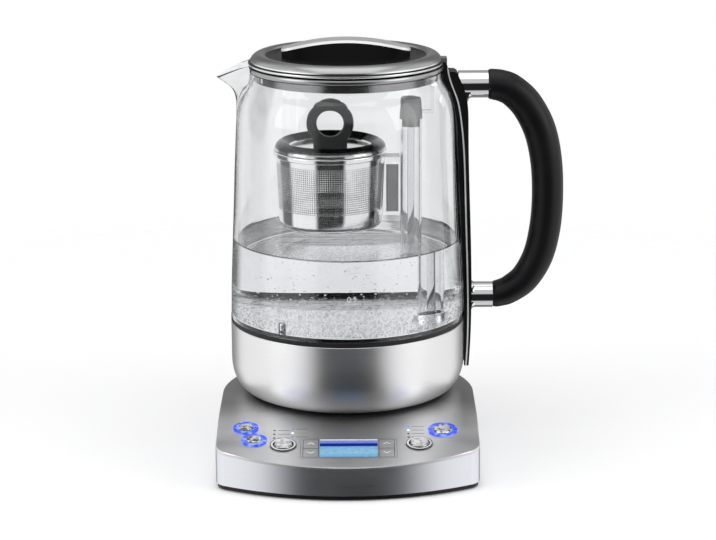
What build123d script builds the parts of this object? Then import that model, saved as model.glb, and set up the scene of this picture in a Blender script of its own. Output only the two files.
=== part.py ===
from build123d import *
import os
from math import asin, cos, radians, sin, sqrt, tan

os.makedirs("parts", exist_ok=True)

# Automatic tea maker, millimetres. Origin: on the jug's axis at table level.
# +X runs to the handle, -Y to the control panel, +Z up.

# ---- fits shared by neighbouring pieces ----
RUN_GAP = 0.05           # shaft in its bearing, radial
LOOSE_GAP = 0.35         # between bodies that move past each other
SEAT_GAP = 0.3           # under what rests on another body
SHEET = 1.2              # drawn steel sheet
WALL = 1.8               # moulded plastic wall
CUT_PAST = 5.0           # how far a cut runs past what it cuts

# ---- base outline and heights ----
BASE_HALF_WIDTH = 80.0
BASE_REAR_Y = -10.0      # centre of the round rear end
BASE_FRONT_REACH = 117.0  # from there to the front edge
BASE_FRONT_Y = BASE_REAR_Y - BASE_FRONT_REACH
BASE_FRONT_RADIUS = 150.0
BASE_CORNER_RADIUS = 11.0
FOOT_HEIGHT = 0.8
FOOT_WIDTH = 5.0
FOOT_INSET = 5.0
PAN_INSET = 0.9
PAN_EDGE = 2.7
PAN_TOP_Z = FOOT_HEIGHT + PAN_EDGE
PAN_FLOOR = 2.0
PAN_LIP_HEIGHT = 5.0
PAN_LIP_GAP = 0.2         # to the band
BAND_WALL = 1.6
PANEL_THICKNESS = 1.8
PANEL_FLAT_Z = 33.0
PANEL_BREAK_Y = BASE_FRONT_Y + 69.0    # where the flat top turns into the slope
PANEL_SLOPE = 9.5         # degrees
PANEL_BREAK_RADIUS = 60.0
PANEL_EDGE_CHAMFER = 0.5
POST_RADIUS = 3.6
POST_INSET = 15.0         # post centres from the base's side
SIDE_POST_REACHES = (22.0, 51.0)       # forward of the rear end's centre
REAR_POST_INSET = 14.2    # from the round rear edge
REAR_POST_TURN = 46.85    # degrees from +X
SCREW_SHANK_RADIUS = 1.5
SCREW_HEAD_RADIUS = 2.8
SCREW_HEAD_HEIGHT = 1.6
SCREW_LENGTH = 14.0
SCREW_CLEARANCE = 0.1

# ---- display and keys, on the sloping panel ----
BUTTON_GAP = 0.3
KEY_WIDTH = 9.0
KEY_LENGTH = 10.4
KEY_SPACE = 0.8           # between an upper and a lower key
KEY_EDGE = 1.6            # bezel outside the keys
KEY_PITCH = KEY_LENGTH + KEY_SPACE
BEZEL_LEFT_X = 51.6 - BASE_HALF_WIDTH
BEZEL_RIGHT_X = BASE_HALF_WIDTH - 50.4
BEZEL_WIDTH = BEZEL_RIGHT_X - BEZEL_LEFT_X
BEZEL_LENGTH = 2 * KEY_LENGTH + KEY_SPACE + 2.8
BEZEL_GAP = 0.2
BEZEL_THICKNESS = 3.0
KEY_SIDE = BEZEL_WIDTH / 2 - KEY_EDGE - KEY_WIDTH / 2     # key centre from the display's centre
LENS_SIDE_WALL = 0.6      # bezel between the lens and the keys
LENS_WIDTH = 2 * (KEY_SIDE - KEY_WIDTH / 2 - BUTTON_GAP - LENS_SIDE_WALL)
LENS_THICKNESS = 1.2
LENS_MARGIN = 0.6         # bezel left above and below the lens
MODULE_THICKNESS = 2.4
DISPLAY_X = (BEZEL_LEFT_X + BEZEL_RIGHT_X) / 2
DISPLAY_Y = BASE_FRONT_Y + 24.2

# ---- round buttons: x, y seen from above, and the outer radius of the ring round them ----
LIT_BUTTONS = {
    "start_button": (BASE_HALF_WIDTH - 22.0, BASE_FRONT_Y + 46.5, 9.0),
    "programme_button": (17.6 - BASE_HALF_WIDTH, BASE_FRONT_Y + 50.0, 7.8),
    "strength_button": (23.2 - BASE_HALF_WIDTH, BASE_FRONT_Y + 34.5, 7.8),
}
PLAIN_BUTTONS = {
    "temperature_button": (BEZEL_LEFT_X - 10.6, BASE_FRONT_Y + 28.5, 8.1),
    "timer_button": (BEZEL_RIGHT_X + 13.7, BASE_FRONT_Y + 29.5, 8.1),
}
LIT_RING_WALL = 3.0
TRIM_RING_WALL = 1.9
RING_PROUD = 0.7
BUTTON_PROUD = 1.5
BUTTON_DEPTH = 3.2        # below the panel's top
BUTTON_DOME = 0.9
BUTTON_TRAVEL = 1.0
BUTTON_FLANGE = 1.0       # wider below the panel, so it can't come out
BUTTON_FLANGE_HEIGHT = 1.0
PLUNGER_GAP = 0.3         # left between a pressed button and its switch
PLUNGER_RADIUS = 1.6
LED_RADIUS = 0.75
LED_PROUD = 0.1
LED_OFFSETS = {
    "temperature_button": [(-5.8, 18.7), (-5.8, 13.9), (-5.8, 9.1), (5.3, 20.1), (5.3, 15.3), (5.3, 10.5)],
    "timer_button": [(-6.3, 21.7), (-6.3, 17.3), (-6.3, 12.9), (-6.3, 8.5)],
}                         # from the button that each light belongs to

# ---- control board ----
BOARD_DEPTH = 9.0         # below the panel's top
BOARD_THICKNESS = 1.6
BOARD_INSET = 7.0         # from the base's outer edge
BOARD_REAR_Y = PANEL_BREAK_Y - 8.0
BOARD_SCREW_INSET = 10.0  # from the board's side
BOARD_SCREW_REACH = 28.0  # front pair, from the base's front
BOARD_SCREW_EDGE = 4.0    # rear pair, from the board's rear edge
BOARD_SCREW_HALF_SPACING = 25.0
SWITCH_SIDE = 6.0
SWITCH_BODY = 2.0

# ---- connector in the middle of the base ----
CONNECTOR_RADIUS = 13.5
CONNECTOR_NECK_RADIUS = CONNECTOR_RADIUS + 3.0
CONNECTOR_FLANGE_RADIUS = CONNECTOR_NECK_RADIUS + 2.0
CONNECTOR_FLANGE_HEIGHT = 1.2
CONNECTOR_TOP_Z = PANEL_FLAT_Z + 6.5
CONNECTOR_BOTTOM_Z = PANEL_FLAT_Z - 9.0
CONTACT_RING_RADIUS = CONNECTOR_RADIUS - 3.9
CONTACT_RING_WALL = 1.0
CONTACT_SLOT = 0.2
PIN_WELL_RADIUS = 4.5
PIN_RADIUS = 1.6

# ---- parts inside the base ----
CORD_RADIUS = 3.3
GLAND_RADIUS = CORD_RADIUS + 2.1
GLAND_HEAD_RADIUS = GLAND_RADIUS + 1.6
GLAND_HEAD = 2.0
GLAND_LENGTH = 13.0       # inside the base's outer face
GLAND_Z = PAN_TOP_Z + 8.5
STANDOFF_RADIUS = 3.0
STANDOFF_HEIGHT = 6.2
POWER_BOARD_WIDTH = 66.0
POWER_BOARD_LENGTH = 32.0
POWER_BOARD_GAP = 3.0     # to the gland
POWER_BOARD_Y = BASE_REAR_Y + BASE_HALF_WIDTH - GLAND_LENGTH - POWER_BOARD_GAP - POWER_BOARD_LENGTH / 2
POWER_BOARD_Z = FOOT_HEIGHT + PAN_FLOOR + STANDOFF_HEIGHT
RELAY_SIZE = (19.0, 15.5, 15.0)
RELAY_X = -16.0
CAPACITOR_RADIUS = 6.5
CAPACITOR_HEIGHT = 17.0
CAPACITOR_X = 16.0

# ---- jug: steel skirt ----
SKIRT_RADIUS = 74.3
SKIRT_BOTTOM_Z = PANEL_FLAT_Z + 2.0
SKIRT_HEIGHT = 45.0
SKIRT_TOP_Z = SKIRT_BOTTOM_Z + SKIRT_HEIGHT
SKIRT_TURN_WIDTH = 12.0   # the rounded lower edge, across
SKIRT_TURN_HEIGHT = 20.0  # and up
COVER_THICKNESS = 2.5
COVER_RECESS = 0.2        # above the skirt's lower edge
COVER_EDGE_GAP = 0.1
COVER_FOOT_RADIUS = SKIRT_RADIUS - SKIRT_TURN_WIDTH - 2.3
COVER_FOOT_WIDTH = 4.0
COVER_POST_RADIUS = 3.8
COVER_POST_CIRCLE = COVER_FOOT_RADIUS - COVER_FOOT_WIDTH
SOCKET_RADIUS = CONNECTOR_RADIUS + 5.5
SOCKET_TOP_Z = CONNECTOR_TOP_Z + 7.5
SOCKET_RIM_RADIUS = SOCKET_RADIUS + 3.5
SOCKET_RIM_HEIGHT = 2.0

# ---- jug: heating plate and seal ----
PLATE_RISE = 2.0          # above the skirt's top
PLATE_TOP_Z = SKIRT_TOP_Z + PLATE_RISE
PLATE_THICKNESS = 1.5
PLATE_FLANGE_RADIUS = SKIRT_RADIUS - SHEET - 0.2
PLATE_RADIUS = PLATE_FLANGE_RADIUS - 3.5
SEAL_TOP_Z = SKIRT_TOP_Z + 2.6
SEAL_LIP_TOP_Z = SEAL_TOP_Z + 2.0
SEAL_LIP = 0.9
HEATER_RING_RADIUS = COVER_POST_CIRCLE - 10.0
HEATER_TUBE_RADIUS = 4.0
HEATER_TURN = 310.0       # degrees of tube round the plate
PROBE_INSET = 6.6         # from the plate's edge
PROBE_TURN = 232.77       # degrees from +X
PROBE_RADIUS = 2.5
PROBE_TOP_Z = PLATE_TOP_Z + 9.0

# ---- jug: glass, as insets from the skirt's radius and heights over the seal ----
GLASS_WALL = 2.8
GLASS_STEPS = [(0.2, 0.0), (0.7, 21.4), (3.0, 73.4), (4.9, 115.4), (5.9, 129.4), (7.5, 137.4), (10.1, 143.9)]
NECK_RADIUS = SKIRT_RADIUS - 13.9
NECK_BOTTOM_Z = SEAL_TOP_Z + 151.4
NECK_TOP_Z = NECK_BOTTOM_Z + 4.8
SPOUT_STEPS = [(-30.0, 6.8, 4.5), (-21.0, 8.0, 7.5), (-13.0, 8.4, 10.5), (-6.0, 11.2, 13.0), (1.0, 20.3, 15.0),
               (7.0, 30.6, 16.0)]      # height over the neck's foot, reach past the neck, root radius
SPOUT_ROOT_X = 6.4 - NECK_RADIUS
SPOUT_TIP_RADIUS = 2.6
SPOUT_WALL = 1.8
SPOUT_TIP = (-NECK_RADIUS - 20.3, NECK_BOTTOM_Z + 1.0)
SPOUT_LIP_END = (0.7 - NECK_RADIUS, NECK_BOTTOM_Z + 9.6)

# ---- jug: collar and hinge ----
COLLAR_GLASS_GAP = 0.4
COLLAR_SKIRT_RADIUS = NECK_RADIUS - GLASS_WALL - COLLAR_GLASS_GAP
COLLAR_SKIRT_WALL = 1.0
COLLAR_INNER_RADIUS = COLLAR_SKIRT_RADIUS + 0.2
COLLAR_OUTER_RADIUS = NECK_RADIUS + 0.6
COLLAR_BEAD = 0.6         # how far the two beads stand out
COLLAR_BOTTOM_Z = NECK_TOP_Z + 0.1
COLLAR_STEP = 1.1
COLLAR_TOP_Z = COLLAR_BOTTOM_Z + 6.1
COLLAR_TOP_CHAMFER = 1.0
COLLAR_GROOVE_Z = COLLAR_BOTTOM_Z + 3.7
COLLAR_GROOVE = 0.9
COLLAR_SKIRT_BOTTOM_Z = COLLAR_BOTTOM_Z - 5.1
STRAINER_SLOTS = 9
STRAINER_STEP = 6.5       # degrees between slots
STRAINER_SLOT_WIDTH = 4.2
STRAINER_EDGE = 0.8       # left above and below the slots
HINGE_X = COLLAR_OUTER_RADIUS - 1.0
HINGE_Z = COLLAR_TOP_Z - 3.0
HINGE_PIN_RADIUS = 1.2
BARREL_RADIUS = 2.8
BARREL_HALF_WIDTH = 4.9
EAR_WIDTH = 4.0
EAR_ROOT = 2.2            # upright part of each ear, across
EAR_OUTER_Y = BARREL_HALF_WIDTH + SEAT_GAP + EAR_WIDTH
TONGUE_TOP_Z = COLLAR_TOP_Z + 1.4
HINGE_RELIEF = sqrt(BARREL_RADIUS ** 2 + (TONGUE_TOP_Z - HINGE_Z) ** 2) + 0.6     # swept by the tongue
BLOCK_BOTTOM_Z = COLLAR_SKIRT_BOTTOM_Z - 0.4
BLOCK_TOP_Z = HINGE_Z - 1.4
NOTCH_DEPTH = 8.0

# ---- lid ----
LID_RING_RADIUS = COLLAR_OUTER_RADIUS - 1.5
LID_RING_WIDTH = 9.5
LID_RING_INNER = LID_RING_RADIUS - LID_RING_WIDTH
LID_RING_EDGE = 0.9
LID_RING_BREAK = 0.8
LID_RING_SHOULDER = 4.0   # from its edge to the point that fixes the top's curve
LID_RING_CURVE = 0.88     # that point's share of the rise
LID_RING_DIP = 0.8        # inner edge below the crest
LID_RING_HEIGHT = 4.8
LID_UNDERSIDE_Z = COLLAR_TOP_Z + SEAT_GAP
LID_RING_TOP_Z = LID_UNDERSIDE_Z + LID_RING_HEIGHT
DISH_FLAT_RADIUS = LID_RING_INNER - 5.0
DISH_TOP_Z = LID_RING_TOP_Z - 2.5
DISH_THICKNESS = 1.5
DISH_EDGE_DROP = 1.8      # its edge below the ring's top
LID_PLUG_RADIUS = COLLAR_INNER_RADIUS - 2.1
LID_PLUG_BOTTOM_Z = COLLAR_BOTTOM_Z - 1.7
LID_SEAL_RADIUS = LID_PLUG_RADIUS + 1.2
LID_SEAL_Z = LID_PLUG_BOTTOM_Z + 3.3
LID_SEAL_HEIGHT = 2.5
LID_SHEET = 1.0
KNOB_HALF_LENGTH = DISH_FLAT_RADIUS - 5.0
KNOB_HALF_WIDTH = 19.2    # at the dish
KNOB_TOP_HALF_WIDTH = 7.4
KNOB_ARCH_RADIUS = 132.0
KNOB_TOP_Z = DISH_TOP_Z + 10.9
KNOB_CAP_THICKNESS = 1.5
KNOB_CAP_OVERHANG = 0.3
KNOB_CAP_EDGE = 0.5
KNOB_SPIGOT_RADIUS = 8.0
KNOB_SPIGOT_LENGTH = 3.0

# ---- handle: reaches past the skirt's radius and heights over the seal ----
SPINE_HALF_WIDTH = 7.6
SPINE_TRIM_EXTRA = 0.7
SPINE_GLASS_GAP = 0.3
SPINE_BOTTOM_Z = SEAL_TOP_Z - 34.1
SPINE_TOP_Z = SEAL_TOP_Z + 155.8
INLAY_STEPS = [(0.7, -34.1), (1.7, -14.6), (1.8, 7.4), (-0.1, 73.4), (-2.2, 117.4), (-3.7, 129.4),
               (-5.6, 138.4), (-8.6, 146.4), (-11.5, 158.0)]
COVER_STEPS = [(2.9, -34.1), (4.1, -12.6), (4.5, 13.4), (3.1, 73.4), (2.0, 117.4), (1.7, 131.4),
               (0.7, 139.4), (-2.7, 149.4), (-6.7, 158.0)]
SPINE_TRIM = 0.9          # chrome layer, across
SPINE_TRIM_TOP_Z = SPINE_TOP_Z + 1.2
SPINE_TOP_ROUND = 3.5
UPPER_FERRULE_Z = SEAL_TOP_Z + 146.8
UPPER_FERRULE_RADIUS = 8.5
UPPER_FERRULE_END_X = SKIRT_RADIUS + 14.2
LOWER_FERRULE_Z = SEAL_TOP_Z + 11.0
LOWER_FERRULE_RADIUS = 8.2
LOWER_FERRULE_END_X = SKIRT_RADIUS + 18.0
FERRULE_ROOT_X = SKIRT_RADIUS - 4.3
UPPER_FLARE_X = SKIRT_RADIUS + 1.7
LOWER_FLARE_X = SKIRT_RADIUS + 4.4
FLARE = 2.4               # how far a ferrule's foot spreads
SPIGOT_RADIUS = 4.5
SPIGOT_LENGTH = 5.0
HANDLE_SCREW_RADIUS = 1.9
HANDLE_SCREW_HEAD_RADIUS = 3.0
HANDLE_SCREW_LENGTH = 14.0
UPPER_BEARING_X = SKIRT_RADIUS - 7.6    # where the screw heads bear on the cover
LOWER_BEARING_X = SKIRT_RADIUS + 2.9
GRIP_HALF_DEPTH = 9.6
GRIP_STEPS = [
    (20.2, 146.1, -8.0, 9.7), (29.3, 142.6, -27.0, 10.1), (38.7, 133.4, -49.0, 10.2),
    (47.0, 117.4, -67.0, 10.2), (51.3, 97.4, -82.0, 10.0), (52.4, 75.4, -90.0, 9.9),
    (51.0, 54.4, -98.0, 9.9), (46.7, 36.0, -111.0, 9.7), (38.6, 21.8, -132.0, 9.3),
    (28.7, 14.2, -157.0, 8.9),
]                         # reach, height, heading in degrees, half thickness
GRIP_UPPER_EXTRA = 0.9    # half thickness over the ferrule's radius
GRIP_UPPER_DROP = 0.6
GRIP_LOWER_EXTRA = 0.5
GRIP_LOWER_LIFT = 0.4

# ---- column that carries the tea basket ----
STAY_X = COLLAR_SKIRT_RADIUS - 3.4
STAY_THICKNESS = 1.6
STAY_HALF_WIDTH = 2.5
STAY_HOOK = 2.0
STAY_HOOK_LIFT = 0.5      # over the collar skirt's lower edge
COLUMN_X = STAY_X - 13.3
COLUMN_RADIUS = 6.85
COLUMN_WALL = 1.4
COLUMN_TOP_Z = PLATE_TOP_Z + 126.0
COLUMN_SOCKET_RADIUS = COLUMN_RADIUS + 2.15
COLUMN_SOCKET_HEIGHT = 3.0
CAP_RADIUS = COLUMN_RADIUS + 0.35
CAP_TOP_RADIUS = CAP_RADIUS - 0.9
CAP_TOP_Z = COLUMN_TOP_Z + 13.0
CAP_SPIGOT = 5.0
CAP_EDGE = 1.2
STAY_ARM_Z = COLUMN_TOP_Z + 3.4
GUIDE_ROD_RADIUS = 2.2

# ---- tea basket ----
BASKET_TOP_RADIUS = 34.6
BASKET_BOTTOM_RADIUS = BASKET_TOP_RADIUS - 2.0
BRACKET_GAP = 0.35        # to the column
BRACKET_REACH = 8.9       # from the basket's widest wall
BASKET_X = COLUMN_X - COLUMN_RADIUS - BRACKET_GAP - BRACKET_REACH - BASKET_TOP_RADIUS
BASKET_BOTTOM_Z = PLATE_TOP_Z + 58.0
BASKET_WALL = 0.9
BASKET_BOTTOM_TURN = 4.0
MESH_BOTTOM_Z = BASKET_BOTTOM_Z + 12.5
MESH_TOP_Z = MESH_BOTTOM_Z + 29.1
MESH_WALL = 0.6
RIM_RADIUS = BASKET_TOP_RADIUS + 1.5
RIM_BOTTOM_Z = MESH_TOP_Z + 3.6
RIM_TOP_Z = RIM_BOTTOM_Z + 3.4
RIM_ROLL = 0.8
BRACKET_HALF_WIDTH = 6.0
BRACKET_TOP_Z = RIM_BOTTOM_Z - 1.4
BRACKET_BOTTOM_Z = BASKET_BOTTOM_Z + 6.6
BRACKET_WALL = 0.8
MAGNET_INNER_X = BASKET_X + BASKET_TOP_RADIUS + 0.5
MAGNET_TOP_Z = BRACKET_TOP_Z - 4.4
MAGNET_BOTTOM_Z = BRACKET_BOTTOM_Z + 2.4
MAGNET_HALF_WIDTH = BRACKET_HALF_WIDTH - 1.4
MAGNET_EDGE = 0.8
TEA_LID_RADIUS = RIM_RADIUS - 0.9
TEA_LID_RING_RADIUS = TEA_LID_RADIUS - 4.7
TEA_LID_RING_Z = RIM_TOP_Z + 6.0
TEA_LID_DISH_RADIUS = TEA_LID_RING_RADIUS - 5.0
TEA_LID_DISH_Z = RIM_TOP_Z + 1.6
TEA_LID_SHEET = 1.0
TEA_LID_BULGE = 0.9       # of the shoulder outside a straight line
GRIP_RING_RADIUS = 14.8
GRIP_RING_HOLE = GRIP_RING_RADIUS - 6.3
GRIP_RING_Z = TEA_LID_DISH_Z + 14.8
GRIP_RING_HALF_DEPTH = 2.6
GRIP_STEM_HALF_WIDTH = 10.6
GRIP_RING_EDGE = 1.2


def save(piece, name):
    """Label a finished piece and write its STEP file."""
    piece.part.label = name
    export_step(piece.part, f"parts/{name}.step")


# ======================= base =======================
BASE_REAR_EDGE_Y = BASE_REAR_Y + BASE_HALF_WIDTH
POST_X = BASE_HALF_WIDTH - POST_INSET
REAR_POST_CIRCLE = BASE_HALF_WIDTH - REAR_POST_INSET
REAR_POST_X = REAR_POST_CIRCLE * cos(radians(REAR_POST_TURN))
REAR_POST_Y = BASE_REAR_Y + REAR_POST_CIRCLE * sin(radians(REAR_POST_TURN))
POST_SPOTS = [(side * POST_X, BASE_REAR_Y - reach) for side in (-1, 1) for reach in SIDE_POST_REACHES]
POST_SPOTS += [(-REAR_POST_X, REAR_POST_Y), (REAR_POST_X, REAR_POST_Y)]
BOARD_SCREW_X = BASE_HALF_WIDTH - BOARD_INSET - BOARD_SCREW_INSET
BOARD_SCREW_SPOTS = [(side * BOARD_SCREW_X, BASE_FRONT_Y + BOARD_SCREW_REACH) for side in (-1, 1)]
BOARD_SCREW_SPOTS += [(side * BOARD_SCREW_HALF_SPACING, BOARD_REAR_Y - BOARD_SCREW_EDGE) for side in (-1, 1)]


def base_plan(sketch, inset):
    """D-shaped outline of the base, inset from its outer edge, drawn in the open sketch."""
    half_width = BASE_HALF_WIDTH - inset
    with Locations((0, BASE_REAR_Y)):
        Circle(half_width)
    with Locations((0, (BASE_REAR_Y + BASE_FRONT_Y) / 2)):
        Rectangle(2 * half_width, BASE_REAR_Y - BASE_FRONT_Y)
    with Locations((0, BASE_FRONT_Y + BASE_FRONT_RADIUS)):
        Circle(BASE_FRONT_RADIUS - inset, mode=Mode.INTERSECT)
    fillet(sketch.vertices().group_by(Axis.Y)[0], max(BASE_CORNER_RADIUS - inset, 1))


def under_panel(sketch, depth):
    """Side view of all that lies below the panel's top surface, lowered by depth."""
    rear_y = BASE_REAR_EDGE_Y + CUT_PAST
    front_y = BASE_FRONT_Y - CUT_PAST
    front_z = PANEL_FLAT_Z - (PANEL_BREAK_Y - front_y) * tan(radians(PANEL_SLOPE))
    with BuildLine() as side:
        Polyline(
            (front_y, -CUT_PAST), (front_y, front_z - depth), (PANEL_BREAK_Y, PANEL_FLAT_Z - depth),
            (rear_y, PANEL_FLAT_Z - depth), (rear_y, -CUT_PAST), close=True,
        )
    make_face(side.edges())
    fillet(sketch.vertices().sort_by_distance((PANEL_BREAK_Y, PANEL_FLAT_Z - depth, 0))[0], PANEL_BREAK_RADIUS)


def panel_plane(x, y, depth=0.0):
    """Plane on the sloping panel at (x, y) seen from above, its normal pointing out."""
    z = PANEL_FLAT_Z - (PANEL_BREAK_Y - y) * tan(radians(PANEL_SLOPE))
    normal = (0, -sin(radians(PANEL_SLOPE)), cos(radians(PANEL_SLOPE)))
    return Plane(origin=(x, y, z), x_dir=(1, 0, 0), z_dir=normal).offset(-depth)


ALL_BUTTONS = {**LIT_BUTTONS, **PLAIN_BUTTONS}
KEYS = {
    "key_left_up": (DISPLAY_X - KEY_SIDE, DISPLAY_Y + KEY_PITCH / 2),
    "key_left_down": (DISPLAY_X - KEY_SIDE, DISPLAY_Y - KEY_PITCH / 2),
    "key_right_up": (DISPLAY_X + KEY_SIDE, DISPLAY_Y + KEY_PITCH / 2),
    "key_right_down": (DISPLAY_X + KEY_SIDE, DISPLAY_Y - KEY_PITCH / 2),
}
LED_SPOTS = [(PLAIN_BUTTONS[name][0] + x, PLAIN_BUTTONS[name][1] + y)
             for name, offsets in LED_OFFSETS.items() for x, y in offsets]
SWITCH_SPOTS = [(x, y) for x, y, _ in ALL_BUTTONS.values()] + list(KEYS.values())
UPRIGHT = 1 / cos(radians(PANEL_SLOPE))          # turns a depth under the panel into a vertical one
BOARD_TOP_DROP = BOARD_DEPTH * UPRIGHT
BOARD_BOTTOM_DROP = (BOARD_DEPTH + BOARD_THICKNESS) * UPRIGHT
PAN_LIP_INSET = BAND_WALL + PAN_LIP_GAP
STANDOFF_X = POWER_BOARD_WIDTH / 2 - STANDOFF_RADIUS
STANDOFF_Y = POWER_BOARD_LENGTH / 2 - STANDOFF_RADIUS
BELOW = FOOT_HEIGHT + PAN_FLOOR                  # top of the pan's floor


def screws(spots, head_z, length):
    """Upright screws in the open part: heads from head_z up, shanks of the given length."""
    with BuildSketch(Plane.XY.offset(head_z)) as heads:
        with Locations(*spots):
            Circle(SCREW_HEAD_RADIUS)
    extrude(heads.sketch, amount=SCREW_HEAD_HEIGHT)
    with BuildSketch(Plane.XY.offset(head_z)) as shanks:
        with Locations(*spots):
            Circle(SCREW_SHANK_RADIUS)
    extrude(shanks.sketch, amount=length)


def screw_holes(spots, head_z, length):
    """Room for the same screws, cut from the open part."""
    with BuildSketch(Plane.XY.offset(head_z)) as heads:
        with Locations(*spots):
            Circle(SCREW_HEAD_RADIUS + SCREW_CLEARANCE)
    extrude(heads.sketch, amount=SCREW_HEAD_HEIGHT, mode=Mode.SUBTRACT)
    with BuildSketch(Plane.XY.offset(head_z)) as shanks:
        with Locations(*spots):
            Circle(SCREW_SHANK_RADIUS + SCREW_CLEARANCE)
    extrude(shanks.sketch, amount=length + SCREW_CLEARANCE, mode=Mode.SUBTRACT)


with BuildPart() as foot_ring:
    with BuildSketch() as foot_outline:
        base_plan(foot_outline, FOOT_INSET)
    extrude(amount=FOOT_HEIGHT)
    with BuildSketch() as foot_hole:
        base_plan(foot_hole, FOOT_INSET + FOOT_WIDTH)
    extrude(amount=FOOT_HEIGHT, mode=Mode.SUBTRACT)
save(foot_ring, "foot_ring")

with BuildPart() as base_pan:
    # posts under the control board, cut off at its slope
    with BuildSketch(Plane.XY.offset(FOOT_HEIGHT)):
        with Locations(*BOARD_SCREW_SPOTS):
            Circle(POST_RADIUS)
    extrude(amount=PANEL_FLAT_Z)
    with BuildSketch(Plane.YZ) as under_board:
        under_panel(under_board, BOARD_BOTTOM_DROP)
    extrude(amount=BASE_HALF_WIDTH, both=True, mode=Mode.INTERSECT)
    # floor with its lip inside the band
    with BuildSketch(Plane.XY.offset(FOOT_HEIGHT)) as pan_outline:
        base_plan(pan_outline, PAN_INSET)
    extrude(amount=PAN_TOP_Z - FOOT_HEIGHT)
    with BuildSketch(Plane.XY.offset(PAN_TOP_Z)) as pan_lip:
        base_plan(pan_lip, PAN_LIP_INSET)
    extrude(amount=PAN_LIP_HEIGHT)
    with BuildSketch(Plane.XY.offset(BELOW)) as pan_hollow:
        base_plan(pan_hollow, PAN_LIP_INSET + WALL)
        with Locations(*BOARD_SCREW_SPOTS):
            Circle(POST_RADIUS, mode=Mode.SUBTRACT)
    extrude(amount=PAN_TOP_Z - BELOW + PAN_LIP_HEIGHT, mode=Mode.SUBTRACT)
    # posts that carry the top panel, and standoffs for the power board
    with BuildSketch(Plane.XY.offset(FOOT_HEIGHT)):
        with Locations(*POST_SPOTS):
            Circle(POST_RADIUS)
    extrude(amount=PANEL_FLAT_Z)
    with BuildSketch(Plane.XY.offset(FOOT_HEIGHT)):
        with Locations((0, POWER_BOARD_Y)):
            with GridLocations(2 * STANDOFF_X, 2 * STANDOFF_Y, 2, 2):
                Circle(STANDOFF_RADIUS)
    extrude(amount=POWER_BOARD_Z - FOOT_HEIGHT)
    with BuildSketch(Plane.YZ) as below_sheet:
        under_panel(below_sheet, PANEL_THICKNESS)
    extrude(amount=BASE_HALF_WIDTH, both=True, mode=Mode.INTERSECT)
    screw_holes(POST_SPOTS, FOOT_HEIGHT, SCREW_LENGTH)
    # room for the cord gland
    with BuildSketch(Plane.XZ.offset(-BASE_REAR_EDGE_Y)):
        with Locations((0, GLAND_Z)):
            Circle(GLAND_HEAD_RADIUS + LOOSE_GAP)
    extrude(amount=GLAND_LENGTH, mode=Mode.SUBTRACT)
save(base_pan, "base_pan")

with BuildPart() as base_band:
    with BuildSketch(Plane.XY.offset(PAN_TOP_Z)) as band_outer:
        base_plan(band_outer, 0)
    extrude(amount=PANEL_FLAT_Z)
    with BuildSketch(Plane.XY.offset(PAN_TOP_Z)) as band_inner:
        base_plan(band_inner, BAND_WALL)
    extrude(amount=PANEL_FLAT_Z, mode=Mode.SUBTRACT)
    with BuildSketch(Plane.YZ) as band_side:
        under_panel(band_side, PANEL_THICKNESS)
    extrude(amount=BASE_HALF_WIDTH + CUT_PAST, both=True, mode=Mode.INTERSECT)
    with BuildSketch(Plane.XZ.offset(-BASE_REAR_EDGE_Y - CUT_PAST)):
        with Locations((0, GLAND_Z)):
            Circle(GLAND_RADIUS + RUN_GAP)
    extrude(amount=GLAND_LENGTH, mode=Mode.SUBTRACT)
save(base_band, "base_band")

with BuildPart() as base_top_panel:
    with BuildSketch() as panel_outline:
        base_plan(panel_outline, 0)
    extrude(amount=PANEL_FLAT_Z + CUT_PAST)
    with BuildSketch(Plane.YZ) as panel_top_side:
        under_panel(panel_top_side, 0)
    extrude(amount=BASE_HALF_WIDTH + CUT_PAST, both=True, mode=Mode.INTERSECT)
    flat_top = base_top_panel.faces().filter_by(Axis.Z).sort_by(Axis.Z)[-1]
    chamfer(flat_top.outer_wire().edges().sort_by(Axis.Y)[1:],
            PANEL_EDGE_CHAMFER)
    with BuildSketch(Plane.YZ) as panel_underside:
        under_panel(panel_underside, PANEL_THICKNESS)
    extrude(amount=BASE_HALF_WIDTH + CUT_PAST, both=True, mode=Mode.SUBTRACT)
    # holes for rings, light pipes, display and connector
    for x, y, ring_radius in ALL_BUTTONS.values():
        with BuildSketch(panel_plane(x, y, 2 * PANEL_THICKNESS)):
            Circle(ring_radius + RUN_GAP)
        extrude(amount=4 * PANEL_THICKNESS, mode=Mode.SUBTRACT)
    for x, y in LED_SPOTS:
        with BuildSketch(panel_plane(x, y, 2 * PANEL_THICKNESS)):
            Circle(LED_RADIUS + RUN_GAP)
        extrude(amount=4 * PANEL_THICKNESS, mode=Mode.SUBTRACT)
    with BuildSketch(panel_plane(DISPLAY_X, DISPLAY_Y, 2 * PANEL_THICKNESS)):
        Rectangle(BEZEL_WIDTH + 2 * BEZEL_GAP, BEZEL_LENGTH + 2 * BEZEL_GAP)
    extrude(amount=4 * PANEL_THICKNESS, mode=Mode.SUBTRACT)
    with BuildSketch(Plane.XY.offset(PANEL_FLAT_Z)):
        Circle(CONNECTOR_NECK_RADIUS + RUN_GAP)
    extrude(amount=-2 * PANEL_THICKNESS, mode=Mode.SUBTRACT)
save(base_top_panel, "base_top_panel")

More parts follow.
